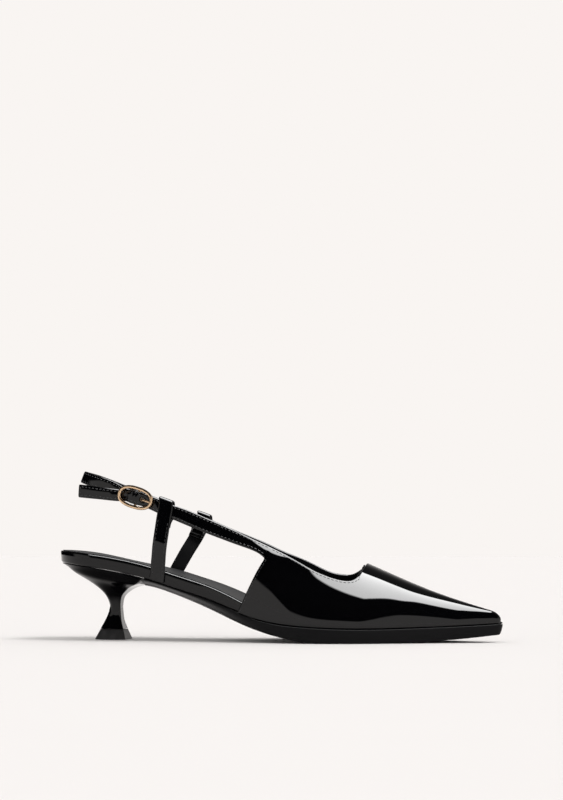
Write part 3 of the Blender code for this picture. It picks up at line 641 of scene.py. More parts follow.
def upper_point(side, along, share):
    """The outer face: share 0 is on the ridge, share 1 at the feather edge."""
    along = np.asarray(along, float)
    foot = half_width(side, along, UPPER_MARGIN)
    base = sole_top(along) + FOOT_GAP
    top = ridge_up(along)
    ridge = side * section["ridge_across"](along)
    span = foot - ridge
    belly = foot + section["lean"](along) * np.minimum(span / SIDE_FADE, 1.0)
    shoulder = ridge + section["reach"](along) * span
    across = bezier(share, (foot, belly, shoulder, ridge))
    up = bezier(share, (base, base + section["rise"](along) * (top - base), top, top))
    return np.stack(np.broadcast_arrays(along, side * across, up), axis=-1)


# %% The collar line
COLLAR = table(
    "along lateral medial",
    (130.2, 53.5, 50.5),
    (139.0, 49.2, 46.8),
    (148.0, 44.2, 42.4),
    (156.0, 39.9, 39.2),
    (164.0, 36.7, 38.1),
)
THROAT = 180.0
THROAT_FOOT = 186.0
THROAT_SQUARE = {LATERAL: 3.8, MEDIAL: 1.6}
QUARTER_FOOT = 110.2
COLLAR_SAMPLES = 240
COLLAR_COLUMNS = 66
VAMP_COLUMNS = 54
HALVINGS = 40


def share_at_height(side, along, up):
    low = np.zeros_like(along)
    high = np.ones_like(along)
    for _ in range(HALVINGS):
        middle = (low + high) / 2.0
        above = upper_point(side, along, middle)[..., 2] > up
        low = np.where(above, middle, low)
        high = np.where(above, high, middle)
    return (low + high) / 2.0


def collar_line(side):
    """Evenly spaced starts of the columns, as (along, share), from the cut-out to the ridge."""
    along = np.linspace(COLLAR[0].along, COLLAR[-1].along, COLLAR_SAMPLES)
    share = share_at_height(side, along, curves(COLLAR)[SIDE_NAME[side]](along))
    turn = np.linspace(0.0, math.pi / 2.0, COLLAR_SAMPLES)[1:]
    power = 2.0 / THROAT_SQUARE[side]
    bow_along = along[-1] + (THROAT - along[-1]) * np.sin(turn) ** power
    bow_share = share[-1] * np.maximum(np.cos(turn), 0.0) ** power
    along = np.concatenate([along, bow_along])
    share = np.concatenate([share, bow_share])
    travelled = chord(upper_point(side, along, share))
    even = np.linspace(0.0, travelled[-1], COLLAR_COLUMNS)
    starts = np.interp(even, travelled, along), np.interp(even, travelled, share)
    starts[1][-1] = 0.0
    return starts


# %% The grid of each side
STRAP_SHARE = {LATERAL: 0.21, MEDIAL: 0.215}
STRAP_ROWS = 6
WALL_ROWS = 28
FOOT_ROWS = (0.978, 0.989, 1.0)
FOOT_CURL = 0.7
CURL_HEIGHT = 1.3


def upper_grid(side):
    starts, shares = collar_line(side)
    feet = np.linspace(QUARTER_FOOT, THROAT_FOOT, COLLAR_COLUMNS)
    way = np.sin(np.linspace(0.0, math.pi / 2.0, VAMP_COLUMNS + 1)[1:])
    starts = np.concatenate([starts, THROAT + (UPPER_TIP - THROAT) * way])
    feet = np.concatenate([feet, THROAT_FOOT + (UPPER_TIP - THROAT_FOOT) * way])
    shares = np.concatenate([shares, np.zeros(VAMP_COLUMNS)])
    strap = STRAP_SHARE[side]
    rows = np.concatenate([
        np.linspace(0.0, strap, STRAP_ROWS, endpoint=False),
        np.linspace(strap, FOOT_ROWS[0], WALL_ROWS - 1)[:-1],
        FOOT_ROWS,
    ])
    along = starts[:, None] + (feet - starts)[:, None] * rows
    share = shares[:, None] + (1.0 - shares)[:, None] * rows
    grid = upper_point(side, along, share)
    height = grid[..., 2] - grid[:, -1:, 2]
    grid[..., 1] -= side * FOOT_CURL * np.clip(1.0 - height / CURL_HEIGHT, 0.0, 1.0) ** 2
    grid[-1, :, 0] = UPPER_TIP
    grid[-1, :, 1] = OUTLINE[-1].medial
    return grid


upper_sides = {side: upper_grid(side) for side in SIDES}
print("upper grid of one side:", upper_sides[LATERAL].shape[:2])

# %% [markdown]
# ## The straps of the upper
# A strap grows out of each quarter in one piece with it. The outer one runs through the buckle and on to
# its free tip. The first rows of the strap are splined together with the collar above and the cut-out's
# edge below, so that the corner of the cut-out is a smooth curve instead of a kink.

# %% Where the buckle sits
BUCKLE_AT = (49.2, -25.8, 82.3)
BUCKLE_FORWARD = (22.0, -2.0, -6.8)
forward = unit(BUCKLE_FORWARD)
outward = unit(np.array((0.0, -1.0, 0.0)) + forward * forward[1])
upward = np.cross(outward, forward)
upward = upward if upward[2] > 0.0 else -upward


def buckle_point(ahead, height, out):
    values = (np.asarray(value, float)[..., None] for value in (ahead, height, out))
    ahead, height, out = np.broadcast_arrays(*values)
    return np.array(BUCKLE_AT) + ahead * forward + height * upward + out * outward


# %% Strap tables and their grids
STRAP_COLUMNS = "top_along top_up low_along low_up across lean"
STRAPS = {
    LATERAL: table(
        STRAP_COLUMNS,
        (128.2, 54.4, 125.2, 48.5, 29.5, 3.0),
        (125.6, 55.6, 123.4, 49.9, 29.6, 2.5),
        (121.4, 57.5, 120.2, 51.6, 29.6, 2.0),
        (114.0, 60.9, 112.6, 54.2, 29.4, 1.4),
        (104.0, 65.3, 101.6, 58.0, 29.0, 1.0),
        (90.0, 71.2, 87.2, 63.3, 28.2, 0.8),
        (76.0, 76.7, 73.2, 68.9, 27.4, 0.7),
        (66.0, 80.2, 63.4, 72.9, 26.8, 0.7),
    ),
    MEDIAL: table(
        STRAP_COLUMNS,
        (128.0, 51.4, 125.1, 44.9, 26.8, 0.9),
        (125.2, 52.6, 123.2, 46.4, 27.2, 1.2),
        (121.0, 54.5, 120.0, 48.0, 27.9, 1.4),
        (113.0, 58.0, 111.6, 50.8, 28.6, 1.4),
        (103.0, 61.8, 100.4, 54.3, 28.7, 1.0),
        (91.0, 66.7, 88.0, 59.1, 28.2, 0.8),
        (77.8, 72.5, 75.0, 65.0, 27.5, 0.7),
    ),
}
BUCKLED_STRAP = table(
    "ahead out rise half_width slant",
    (12.4, -0.95, -0.5, 4.0, 0.0),
    (10.0, -1.15, -0.3, 3.9, 0.0),
    (8.0, -1.15, -0.15, 3.85, 0.0),
    (5.8, -0.55, 0.0, 3.75, 0.0),
    (3.0, 0.8, 0.0, 3.95, 0.0),
    (0.0, 1.2, 0.0, 4.05, 0.0),
    (-3.0, 0.8, -0.1, 3.9, 0.0),
    (-5.8, -0.55, -0.35, 3.5, 0.0),
    (-8.0, -1.15, -1.0, 3.55, -0.2),
    (-10.0, -1.15, -1.7, 3.55, -0.4),
    (-13.0, -0.9, -2.35, 3.6, -0.7),
    (-18.0, -0.8, -3.3, 3.6, -1.0),
    (-25.0, -1.2, -4.6, 3.7, -1.5),
    (-34.9, -2.1, -6.46, 3.85, -2.0),
)
ROOT_STEPS = (4, 2, 0)
CELL = 1.5
STRAP_CROWN = 0.22
ROOT_FADE = 9.0


def strap_edges(side):
    """Top and low edge points, row by row."""
    edges = []
    for row in STRAPS[side]:
        top = (row.top_along, side * (row.across - row.lean / 2.0), row.top_up)
        low = (row.low_along, side * (row.across + row.lean / 2.0), row.low_up)
        edges.append((top, low))
    if side == LATERAL:
        for row in BUCKLED_STRAP:
            top = buckle_point(row.ahead + row.slant, row.rise + row.half_width, row.out)
            low = buckle_point(row.ahead, row.rise - row.half_width, row.out)
            edges.append((top, low))
    return np.array(edges)


def strap_grid(side):
    """Points from the quarter's first column, which is left out, to the strap's end."""
    quarter = upper_sides[side]
    roots = [(quarter[step, 0], quarter[0, STRAP_ROWS + step]) for step in ROOT_STEPS]
    knots = np.concatenate([np.array(roots), strap_edges(side)])
    lines = [(chord(knots[:, edge]), knots[:, edge]) for edge in (0, 1)]
    places = [[], []]
    first = len(ROOT_STEPS) - 1
    for span in range(first, len(knots) - 1):
        size = np.linalg.norm(knots[span + 1, 0] - knots[span, 0])
        steps = max(2, round(size / CELL))
        for edge in (0, 1):
            far = lines[edge][0]
            places[edge].extend(np.linspace(far[span], far[span + 1], steps + 1)[1:])
    top, low = (spline(*lines[edge])(np.array(places[edge])) for edge in (0, 1))
    row = np.linspace(0.0, 1.0, STRAP_ROWS + 1)[None, :, None]
    grid = top[:, None] + (low - top)[:, None] * row
    run = chord(top)[:, None, None] + CELL
    start = quarter[0, : STRAP_ROWS + 1]
    bow = start - (start[0] + (start[-1] - start[0]) * row[0])
    grid = grid + bow[None] * np.exp(-((run / ROOT_FADE) ** 2))
    away = unit(np.cross(np.gradient((top + low) / 2.0, axis=0), low - top))
    away = away * np.sign(away[:, 1:2] * side)
    crown = STRAP_CROWN * (1.0 - (2.0 * row - 1.0) ** 2) * (1.0 - np.exp(-((run / ROOT_FADE) ** 2)))
    return grid + crown * away[:, None]


upper_straps = {side: strap_grid(side) for side in SIDES}
print("strap columns:", {SIDE_NAME[side]: len(upper_straps[side]) for side in SIDES})

# %% [markdown]
# ## The roll of the top line
# A strap under pull draws the edge it grows from inwards, and the leather ahead of it gives way outwards a
# little. That roll is what catches the softbox at the root of the strap, so it is shaped in the mesh: a
# short table says how far the edge tips, and the tip fades out over a few millimetres below it.

# %% Roll of the top line
COLLAR_ROLL = table(
    "along inward",
    (106.0, 0.0), (116.0, 1.0), (122.0, 1.5), (129.0, 1.5), (135.0, 0.8), (141.0, -0.3), (147.0, -0.5),
    (153.0, -0.2), (158.0, 0.0),
)
ROLL_DEPTH = 7.0


def roll_top(grid, side):
    """Tip the edge of the top line inward where the strap pulls it, and a little outward ahead of that."""
    step = np.linalg.norm(np.diff(grid, axis=1), axis=-1)
    down = np.concatenate([np.zeros((len(grid), 1)), np.cumsum(step, axis=1)], axis=1)
    amount = curves(COLLAR_ROLL)["inward"](grid[:, 0, 0])[:, None]
    grid[..., 1] -= side * amount * np.clip(1.0 - down / ROLL_DEPTH, 0.0, 1.0) ** 2


for side in SIDES:
    roll_top(upper_sides[side], side)
    roll_top(upper_straps[side], side)
print("largest roll in mm:", max(row.inward for row in COLLAR_ROLL))

# %% [markdown]
# ## The flex crease
# Patent bends in a shallow trough across the vamp, which puts a soft wave in the long highlight. One
# trough with a low ridge beside it is pressed into the outer half. The ridge beside it still reaches the
# middle line, where the inner half is not moved, so a hair-fine seam stays open there. A crease that
# fades to nothing at the middle line would keep it closed.

# %% Flex crease of the vamp
CREASE_FROM = (183.0, 36.0)
CREASE_TO = (202.0, 24.0)
CREASE_DEPTH = 0.14
CREASE_WIDTH = 3.5
CREASE_REACH = 0.6
CREASE_RIDGE = 0.5
RIDGE_OFF = 2.0


def press_crease(grid, side):
    """A soft trough across the outer side of the vamp, with a low ridge beside it."""
    start, end = np.array(CREASE_FROM), np.array(CREASE_TO)
    run = (end - start) / np.linalg.norm(end - start)
    beside = grid[..., (0, 2)] - start
    travelled = beside @ run
    off = beside @ np.array((-run[1], run[0])) / CREASE_WIDTH
    length = np.linalg.norm(end - start)
    fade = np.exp(-(((travelled - length / 2.0) / (CREASE_REACH * length)) ** 4))
    wave = np.exp(-off ** 2) - CREASE_RIDGE * np.exp(-(off - RIDGE_OFF) ** 2)
    grid[..., 1] -= side * CREASE_DEPTH * fade * wave


press_crease(upper_sides[LATERAL], LATERAL)
middle_apart = np.abs(upper_sides[LATERAL][COLLAR_COLUMNS:, 0] - upper_sides[MEDIAL][COLLAR_COLUMNS:, 0])
print("halves apart at the middle line, in mm:", round(float(middle_apart.max()), 3))

# %% [markdown]
# ## The upper's mesh
# The prong needs a hole in the strap: the eight neighbours of one grid point move to a circle, and the
# faces round that point are left out. Walls and straps of both sides then become one mesh, whose second
# finish is the lining.

# %% Prong hole and the upper
HOLE_AHEAD = 3.9
HOLE_RADIUS = 1.25


def open_hole(grid):
    """Move the eight neighbours of one point of the strap to a circle; returns that point's place."""
    middle_row = STRAP_ROWS // 2
    ahead = (grid[:, middle_row] - BUCKLE_AT) @ forward
    column = int(np.argmin(np.abs(ahead - HOLE_AHEAD)))
    centre = grid[column, middle_row].copy()
    for step in (-1, 0, 1):
        for side_step in (-1, 0, 1):
            if step or side_step:
                spot = grid[column + step, middle_row + side_step]
                grid[column + step, middle_row + side_step] = centre + unit(spot - centre) * HOLE_RADIUS
    return column, middle_row


hole_place = open_hole(upper_straps[LATERAL])
print("prong hole in strap column", hole_place[0])


def make_upper():
    points = []
    faces = []

    def number(grid):
        first = sum(len(block) for block in points)
        points.append(grid.reshape(-1, 3))
        return first + np.arange(grid.shape[0] * grid.shape[1]).reshape(grid.shape[:2])

    for side in SIDES:
        wall = number(upper_sides[side])
        strap = number(upper_straps[side])
        joined = np.concatenate([wall[:1, : STRAP_ROWS + 1], strap])[::-1]
        order = 1 if side == LATERAL else -1
        faces += quads(wall[:, ::order]) + quads(joined[:, ::order])
        if side == LATERAL:
            faces = [face for face in faces if strap[hole_place] not in face]
    made = piece("upper_shell", np.concatenate(points), faces, [patent, lining], "patent_leather", "upper")
    return shell(made, UPPER_WALL, lined=True)


make_upper()

# %% [markdown]
# ## The sling strap
# A separate strap runs round the back of the foot. It starts in the inner stay's loop and ends folded
# round the buckle's bar. Its centre line is a spline through a few places, and its width lies along the
# slant of the heel, turning into the buckle's own upright towards the fold.

# %% Ribbon helper and the sling
SLING_WALL = 1.3
SLING = table(
    "along across up width",
    (75.8, 26.9, 69.0, 7.8), (64.0, 26.0, 73.8, 7.7), (50.0, 23.8, 79.4, 7.6), (37.0, 20.2, 84.7, 7.5),
    (25.0, 15.0, 89.8, 7.5), (14.6, 8.4, 93.9, 7.5), (10.3, 0.0, 95.4, 7.5), (13.2, -8.2, 94.9, 7.6),
    (22.2, -14.8, 91.9, 7.7), (33.0, -18.4, 88.3, 7.6),
)
SLING_LEAN = (0.36, 0.0, 0.93)
FOLD_WIDTH = 7.0
FOLD_START = ((-8.7, -3.4), (-5.4, -2.8), (-2.6, -1.5))
FOLD_END = ((-1.6, -5.8), (-4.0, -6.6))
FOLD_TURN_STEPS = 8
BAR_RADIUS = 0.8
BAR_OUT = -3.3
RIBBON_ROWS = 6
SLOT_FROM = -0.2
SLOT_HALF = 1.2
FOLD_CELL = 0.7


def is_slot(points):
    """Whether the middle of some points lies in the slot that lets the prong out of the fold."""
    middle = points.mean(axis=0) - BUCKLE_AT
    return middle @ forward > SLOT_FROM and abs(middle @ upward) < SLOT_HALF


def ribbon(name, top, low, wall, crown=0.15, slotted=False, inked=False):
    """A lined strap between two edge lines, slightly crowned across its width."""
    row = np.linspace(0.0, 1.0, RIBBON_ROWS + 1)[None, :, None]
    away = unit(np.cross(low - top, np.gradient((top + low) / 2.0, axis=0)))
    grid = top[:, None] + (low - top)[:, None] * row
    grid = grid + crown * (1.0 - (2.0 * row - 1.0) ** 2) * away[:, None]
    index = np.arange(grid.shape[0] * grid.shape[1]).reshape(grid.shape[:2])
    node = name.replace("_ribbon", "")
    points = grid.reshape(-1, 3)
    faces = [face for face in quads(index) if not (slotted and is_slot(points[face]))]
    made = piece(name, points, faces, [patent, lining], "patent_leather", node)
    return shell(made, wall, lined=True, inked=inked)


def sling_lines():
    wrap = BAR_RADIUS + GAP + SLING_WALL
    turn = np.linspace(0.0, math.pi, FOLD_TURN_STEPS + 1)
    fold = list(FOLD_START) + list(zip(wrap * np.sin(turn), BAR_OUT + wrap * np.cos(turn))) + list(FOLD_END)
    ahead, out = np.array(fold).T
    band = np.array([(row.along, row.across, row.up) for row in SLING])
    knots = np.concatenate([band, buckle_point(ahead, 0.0, out)])
    widths = np.array([row.width for row in SLING] + [FOLD_WIDTH] * len(fold))
    upright = np.array([0.0] * len(SLING) + [1.0] * len(fold))
    far = chord(knots)
    fold_from = far[len(SLING)]
    place = np.concatenate([
        np.linspace(0.0, fold_from, round(fold_from / CELL), endpoint=False),
        np.linspace(fold_from, far[-1], round((far[-1] - fold_from) / FOLD_CELL)),
    ])
    centre = spline(far, knots)(place)
    run = unit(np.gradient(centre, axis=0))
    lean = np.array(SLING_LEAN) - run * (run @ np.array(SLING_LEAN))[:, None]
    share = np.interp(place, far, upright)[:, None]
    across = unit(unit(lean) * (1.0 - share) + upward * share)
    half = np.interp(place, far, widths)[:, None] / 2.0
    return centre + across * half, centre - across * half


sling_top, sling_low = sling_lines()
ribbon("sling_strap_ribbon", sling_top, sling_low, SLING_WALL, slotted=True)

# %% [markdown]
# ## The stays
# Two upright straps hold the sling at the right height. Each starts at the waist, on the wrapped edge of
# the insole, rises to the strap, turns over it and is stitched down behind itself, which leaves a loop
# that the strap can slip through.

# %% Stays with their loops
STAY_WALL = 1.4
STAY_WIDTH = 9.0
STAY_SLOPE = -0.36
LOOP_SLACK = 0.5
LOOP_CROWN = 0.1
LOOP_LEAN = 0.8
LOOP_STEPS = 14
LOOP_SQUARE = 3.0
STAY_TAIL_STEPS = (2.2, 4.6)
STAY_CELL = 0.8
Stay = namedtuple("Stay", "foot_along loop_along strap_top strap_low strap_across")
STAYS = {
    LATERAL: Stay(61.9, 67.9, 79.9, 70.5, 26.85),
    MEDIAL: Stay(58.9, 78.3, 72.85, 64.5, 27.35),
}
STAY_PATH = {
    LATERAL: table(
        "level out",
        (0.08, 0.0), (0.4, 0.0), (0.8, 0.1), (1.0, 0.36), (1.18, 0.86), (1.32, 1.25), (1.46, 1.42),
        (1.65, 1.33), (1.83, 1.18), (2.0, 1.03),
    ),
    MEDIAL: table(
        "level out",
        (0.08, 0.0), (0.4, 0.0), (0.92, 0.0), (1.1, 0.12), (1.45, 0.5), (1.83, 0.97), (2.0, 1.0),
    ),
}


def stay_lines(side):
    """Both edges of a stay: up the insole's edge, over the strap and down behind its own leg."""
    row = STAYS[side]
    outside = row.strap_across + STAY_WALL + GAP + LOOP_SLACK
    inside = row.strap_across - UPPER_WALL - STAY_WALL - GAP - LOOP_SLACK
    tail_behind = 2.0 * STAY_WALL + GAP
    base = sole_top(row.foot_along) + GAP
    board = base + level["insole"](row.foot_along)
    steps = STAY_PATH[side]
    ways = [step.out for step in steps]
    heights = [np.interp(step.level, (0.0, 1.0, 2.0), (base, board, row.strap_low)) for step in steps]
    path = [(up, way, outside, 0.0) for up, way in zip(heights, ways)]
    over = (outside - inside) / 2.0
    power = 2.0 / LOOP_SQUARE
    crown = row.strap_top + GAP + LOOP_CROWN + STAY_WALL - over
    for turn in np.linspace(0.0, math.pi, LOOP_STEPS + 1):
        cos, sin = math.cos(turn), max(math.sin(turn), 0.0)
        across = (outside + inside) / 2.0 + over * math.copysign(abs(cos) ** power, cos)
        path.append((crown + over * sin ** power, 1.0, across, 0.0))
    path.append((row.strap_low, 1.0, inside, 0.0))
    for step in STAY_TAIL_STEPS:
        up = row.strap_low - step
        path.append((up, np.interp(up, heights, ways), outside, tail_behind))
    up, way, out, behind = np.array(path).T
    out = out - LOOP_LEAN * np.clip((up - row.strap_low) / (row.strap_top - row.strap_low), 0.0, 1.0)
    middle = np.interp(up, (base, crown), (row.foot_along, row.loop_along))
    half = STAY_WIDTH / 2.0 / math.hypot(1.0, STAY_SLOPE)
    edges = []
    for step in (-half, half):
        foot = half_width(side, middle + step, 0.0) + GAP + STAY_WALL
        across = foot + (out - foot) * way - behind
        knots = np.stack([middle + step, side * across, up + step * STAY_SLOPE], axis=-1)
        edges.append(knots)
    far = chord((edges[0] + edges[1]) / 2.0)
    place = fine_places(far, STAY_CELL)
    edges = [spline(far, knots)(place) for knots in edges]
    return edges if side == LATERAL else edges[::-1]


stay_edges = {side: stay_lines(side) for side in SIDES}
for side in SIDES:
    ribbon("stay_" + SIDE_NAME[side] + "_ribbon", *stay_edges[side], STAY_WALL, crown=0.08, inked=True)

# %% [markdown]
# ## Outlines in plan
# The sole, the insole and the sock share one plan outline, each a little larger or smaller. A loop of
# points at a given inset is a ring, and rings at several insets and heights make a rounded edge that is
# even all round the toe and the heel. The top is closed by shrinking the last ring to the middle line.

# %% Ring helpers
RING_HALF = 150
FILL_ROWS = 14


def spread(low, high):
    """Places from low to high, close together at both ends."""
    turn = np.linspace(0.0, math.pi, RING_HALF + 1)
    return low + (high - low) * (1.0 - np.cos(turn)) / 2.0


def ring(along, edges):
    """A closed ring: out along the lateral edge and back along the medial one."""
    lateral, medial = edges
    across = np.concatenate([-lateral, medial[::-1]])
    return np.concatenate([along, along[::-1]]), across


def stack(rings):
    """Points and faces of rings of equal count, each an array of points."""
    count = len(rings[0])
    index = np.arange(len(rings) * count).reshape(len(rings), count)
    return np.concatenate(rings), quads(closed(index))


# %% [markdown]
# ## The insole and its sock
# The board under the foot is wrapped in the same patent, so its thick edge shows as a dark band at the
# seat and the waist. On top lies a sock of matt grained leather, cut a little smaller and glued down, so
# a thin bright line of wrap shows round it.

# %% Insole
INSOLE_TIP = 249.5
INSOLE_DISH = 0.8
SEAT_ROLL = 2.0
SEAT_ROLL_AT = 40.0
SEAT_ROLL_REACH = 36.0
TOE_EASE = 1.4
TOE_EASE_START = 118.0
EDGE_REACH = 1.2
INSOLE_PROFILE = table(
    "inset from_low from_top",
    (1.7, 0.0, None), (0.9, 0.15, None), (0.5, 0.45, None), (0.32, 1.0, None),
    (0.0, None, 1.0), (0.1, None, 0.55), (0.4, None, 0.2), (0.9, None, 0.05), (1.5, None, 0.0),
)


def insole_edge(side, along, inset):
    share = np.clip((along - TOE_EASE_START) / (INSOLE_TIP - TOE_EASE_START), 0.0, 1.0)
    return half_width(side, along, -inset) - TOE_EASE * np.sqrt(share)


def insole_top(along, across):
    """Height of the dished, slightly rolled top face."""
    lateral = np.maximum(insole_edge(LATERAL, along, 0.0), 1.0)
    medial = np.maximum(insole_edge(MEDIAL, along, 0.0), 1.0)
    side = np.clip(np.where(across < 0.0, across / lateral, across / medial), -1.0, 1.0)
    reach = np.clip(np.abs(along - SEAT_ROLL_AT) / SEAT_ROLL_REACH, 0.0, 1.0)
    roll = SEAT_ROLL * (0.5 + 0.5 * np.cos(math.pi * reach)) * (0.5 + 0.5 * side)
    dish = INSOLE_DISH * np.minimum((lateral + medial) / 2.0 / HEEL_RADIUS, 1.0)
    return sole_top(along) + GAP + level["insole"](along) - roll - dish * (1.0 - side ** 2)


def insole_ring(inset, tip):
    along = spread(BACK + inset, tip - inset)
    return ring(along, [insole_edge(side, along, inset) for side in SIDES])


def fill_to_middle(along, across, height):
    """Rings that shrink to the middle line, at the height that a function gives."""
    rings = []
    for share in np.linspace(1.0, 0.0, FILL_ROWS + 1)[1:]:
        rings.append(np.stack([along, across * share, height(along, across * share)], axis=-1))
    return rings


def make_insole(wrap):
    rings = []
    for row in INSOLE_PROFILE:
        along, across = insole_ring(row.inset, INSOLE_TIP)
        if row.from_low is None:
            up = insole_top(along, across * EDGE_REACH) - row.from_top
        else:
            up = sole_top(along) + GAP + row.from_low
        rings.append(np.stack([along, across, up], axis=-1))
    base = fill_to_middle(rings[0][:, 0], rings[0][:, 1], lambda along, across: sole_top(along) + GAP)
    rings = base[::-1] + rings + fill_to_middle(rings[-1][:, 0], rings[-1][:, 1], insole_top)
    points, faces = stack(rings)
    turn_outward(piece("insole_wrap", points, faces, [wrap], "wrapped_board", "insole"))


make_insole(finish("patent_wrap", lacquer(0.45, 0.06)))

# %% Sock
SOCK_INSET = 1.5
SOCK_TIP = 246.0
SOCK_PROFILE = ((0.0, -0.25), (0.02, 0.1), (0.25, 0.3), (0.7, 0.36))


def sock_surface(start):
    here = start.node("ShaderNodeTexCoord", out="Object")
    sockets = {"Vector": here, "Scale": 1300.0}
    cells = start.node("ShaderNodeTexVoronoi", {"feature": "F1"}, sockets, "Distance")
    pores = noise(start, 1800.0, 3.0)
    cloud = noise(start, 45.0, 3.0)
    normal = bumped(start, cells * 0.7 + pores * 0.3, 0.6, 0.00012)
    tone = (cloud * 0.5 + pores * 0.5).blend(colour(0.015, 0.015, 0.0162), colour(0.032, 0.032, 0.034))
    return unlacquered(start, tone, 0.5 + 0.15 * pores, 0.12, normal)


def make_sock(leather):
    rings = []
    for inset, rise in SOCK_PROFILE:
        along, across = insole_ring(SOCK_INSET + inset, SOCK_TIP)
        rings.append(np.stack([along, across, insole_top(along, across) + rise], axis=-1))
    top = SOCK_PROFILE[-1][1]
    last = rings[-1]
    rings += fill_to_middle(last[:, 0], last[:, 1], lambda along, across: insole_top(along, across) + top)
    points, faces = stack(rings)
    turn_outward(piece("sock", points, faces, [leather], "wrapped_board"))


make_sock(finish("grained_sock", sock_surface))

# %% [markdown]
# ## The outsole
# One black sole runs from the toe to the heel breast. It is thick at the ball, springs up at the toe and
# thins into a tucked waist with a bevelled edge. Its rim stands a millimetre out from the upper, which
# draws the dark line round the feather edge.

# %% Outsole
BREAST = 53.6
TREAD_BACK = 156.0
TREAD_FRONT = 192.0
TOE_SPRING = 4.6
TOE_SPRING_POWER = 1.7
TOE_UNDERCUT = 1.0
TOE_UNDERCUT_START = 242.0
DEEPEST_INSET = 4.0
SOLE_CORNER = math.radians(50.0)
UNDERSIDE = table(
    "along up tuck bevel",
    (50.0, 32.4, 5.6, 2.6), (58.0, 30.9, 5.6, 3.4), (66.0, 28.4, 5.6, 4.2), (76.0, 24.6, 5.6, 4.8),
    (88.0, 19.8, 5.4, 5.0), (103.0, 13.5, 3.9, 4.6), (115.0, 9.0, 1.7, 3.4), (127.0, 5.4, 0.3, 2.0),
    (140.0, 2.3, 0.0, 1.1), (150.0, 0.6, 0.0, 1.0), (TREAD_BACK, 0.0, 0.0, 1.0),
    (TREAD_FRONT, 0.0, 0.0, 1.0), (TIP, 0.0, 0.0, 1.0),
)
OUTSOLE_PROFILE = table(
    "height bevel undercut",
    (0.0, 1.0, 1.0), (0.02, 0.88, 0.96), (0.06, 0.7, 0.9), (0.16, 0.42, 0.8), (0.3, 0.2, 0.64),
    (0.44, 0.1, 0.5), (0.62, 0.04, 0.28), (0.78, 0.0, 0.1),
)
OUTSOLE_RIM = ((0.0, 0.6), (0.08, 0.25), (0.28, 0.06), (0.6, 0.0), (3.2, 0.0))
underside = curves(UNDERSIDE)


def sole_bottom(along):
    toe = TOE_SPRING * (np.maximum(along - TREAD_FRONT, 0.0) / (TIP - TREAD_FRONT)) ** TOE_SPRING_POWER
    return np.where(along > TREAD_BACK, toe, np.maximum(underside["up"](along), 0.0))


def sole_ring(inset_at):
    """A ring whose inset from the rim changes along the sole."""
    tip_inset = float(inset_at(np.array(TIP)))
    along = spread(BREAST, TIP - tip_inset)
    inset = inset_at(along)
    kept = np.minimum(inset, DEEPEST_INSET)
    edges = [half_width(side, along, SOLE_MARGIN - kept) - (inset - kept) - underside["tuck"](along)
             for side in SIDES]
    return ring(along, edges)


def make_outsole(leather):
    rings = []
    for row in OUTSOLE_PROFILE:
        def inset_at(along, row=row):
            ramp = np.clip((along - TOE_UNDERCUT_START) / (TIP - TOE_UNDERCUT_START), 0.0, 1.0)
            return row.bevel * underside["bevel"](along) + row.undercut * TOE_UNDERCUT * ramp

        along, across = sole_ring(inset_at)
        low = sole_bottom(along)
        rings.append(np.stack([along, across, low + row.height * (sole_top(along) - low)], axis=-1))
    for inset, below in OUTSOLE_RIM:
        along, across = sole_ring(lambda along, inset=inset: np.full_like(along, inset))
        rings.append(np.stack([along, across, sole_top(along) - below], axis=-1))
    base = fill_to_middle(rings[0][:, 0], rings[0][:, 1], lambda along, across: sole_bottom(along))
    top = fill_to_middle(rings[-1][:, 0], rings[-1][:, 1], lambda along, across: sole_top(along))
    points, faces = stack(base[::-1] + rings + top)
    made = turn_outward(piece("outsole_body", points, faces, [leather], "outsole_leather", "outsole"))
    made.data.set_sharp_from_angle(angle=SOLE_CORNER)


# %% [markdown]
# ## The sole's ink
# The sole is inked black and almost matt, with the faint layers of pressed leather along its edge. Only
# the bevel of the waist is polished: a coat is laid where the surface looks down and lies behind the ball.

# %% Ink and polish of the sole
POLISHED_WAIST = (-0.07, 0.0)
BEVEL_FACING = (0.05, 0.4)


def sole_surface(start):
    here = start.node("ShaderNodeTexCoord", out="Object")
    sockets = {"Vector": here, "Scale": (60.0, 60.0, 1500.0)}
    stretched = start.node("ShaderNodeMapping", {}, sockets, "Vector")
    sockets = {"Vector": stretched, "Scale": 1.0, "Detail": 3.0}
    layers = start.node("ShaderNodeTexNoise", {}, sockets, "Fac")
    specks = noise(start, 900.0, 2.0)
    tone = layers.blend(colour(0.003, 0.003, 0.0035), colour(0.006, 0.006, 0.0065))
    along = start.node("ShaderNodeSeparateXYZ", {}, {"Vector": here})
    facing = start.node("ShaderNodeNewGeometry", out="Normal")
    down = 0.0 - start.node("ShaderNodeSeparateXYZ", {}, {"Vector": facing}, "Z")
    waist = (1.0 - along.between(*POLISHED_WAIST)) * down.between(*BEVEL_FACING)
    sockets = {
        "Base Color": tone,
        "Roughness": 0.42 + 0.12 * specks,
        "Specular IOR Level": 0.1,
        "Coat Weight": waist,
        "Coat Roughness": 0.22,
        "Coat IOR": COAT_IOR,
        "Normal": bumped(start, layers * 0.6 + specks * 0.4, 0.25, 0.00008),
    }
    return start.node("ShaderNodeBsdfPrincipled", {}, sockets)


make_outsole(finish("inked_outsole", sole_surface))

# %% [markdown]
# ## The heel
# A low spool heel is a block covered in patent: it flares from a thin stem to the seat above and the top
# piece below. Rings of one outline, round behind and flat at the breast, are splined from the seat down.
# The breast meets the sides at a crisp corner with a very small chamfer.

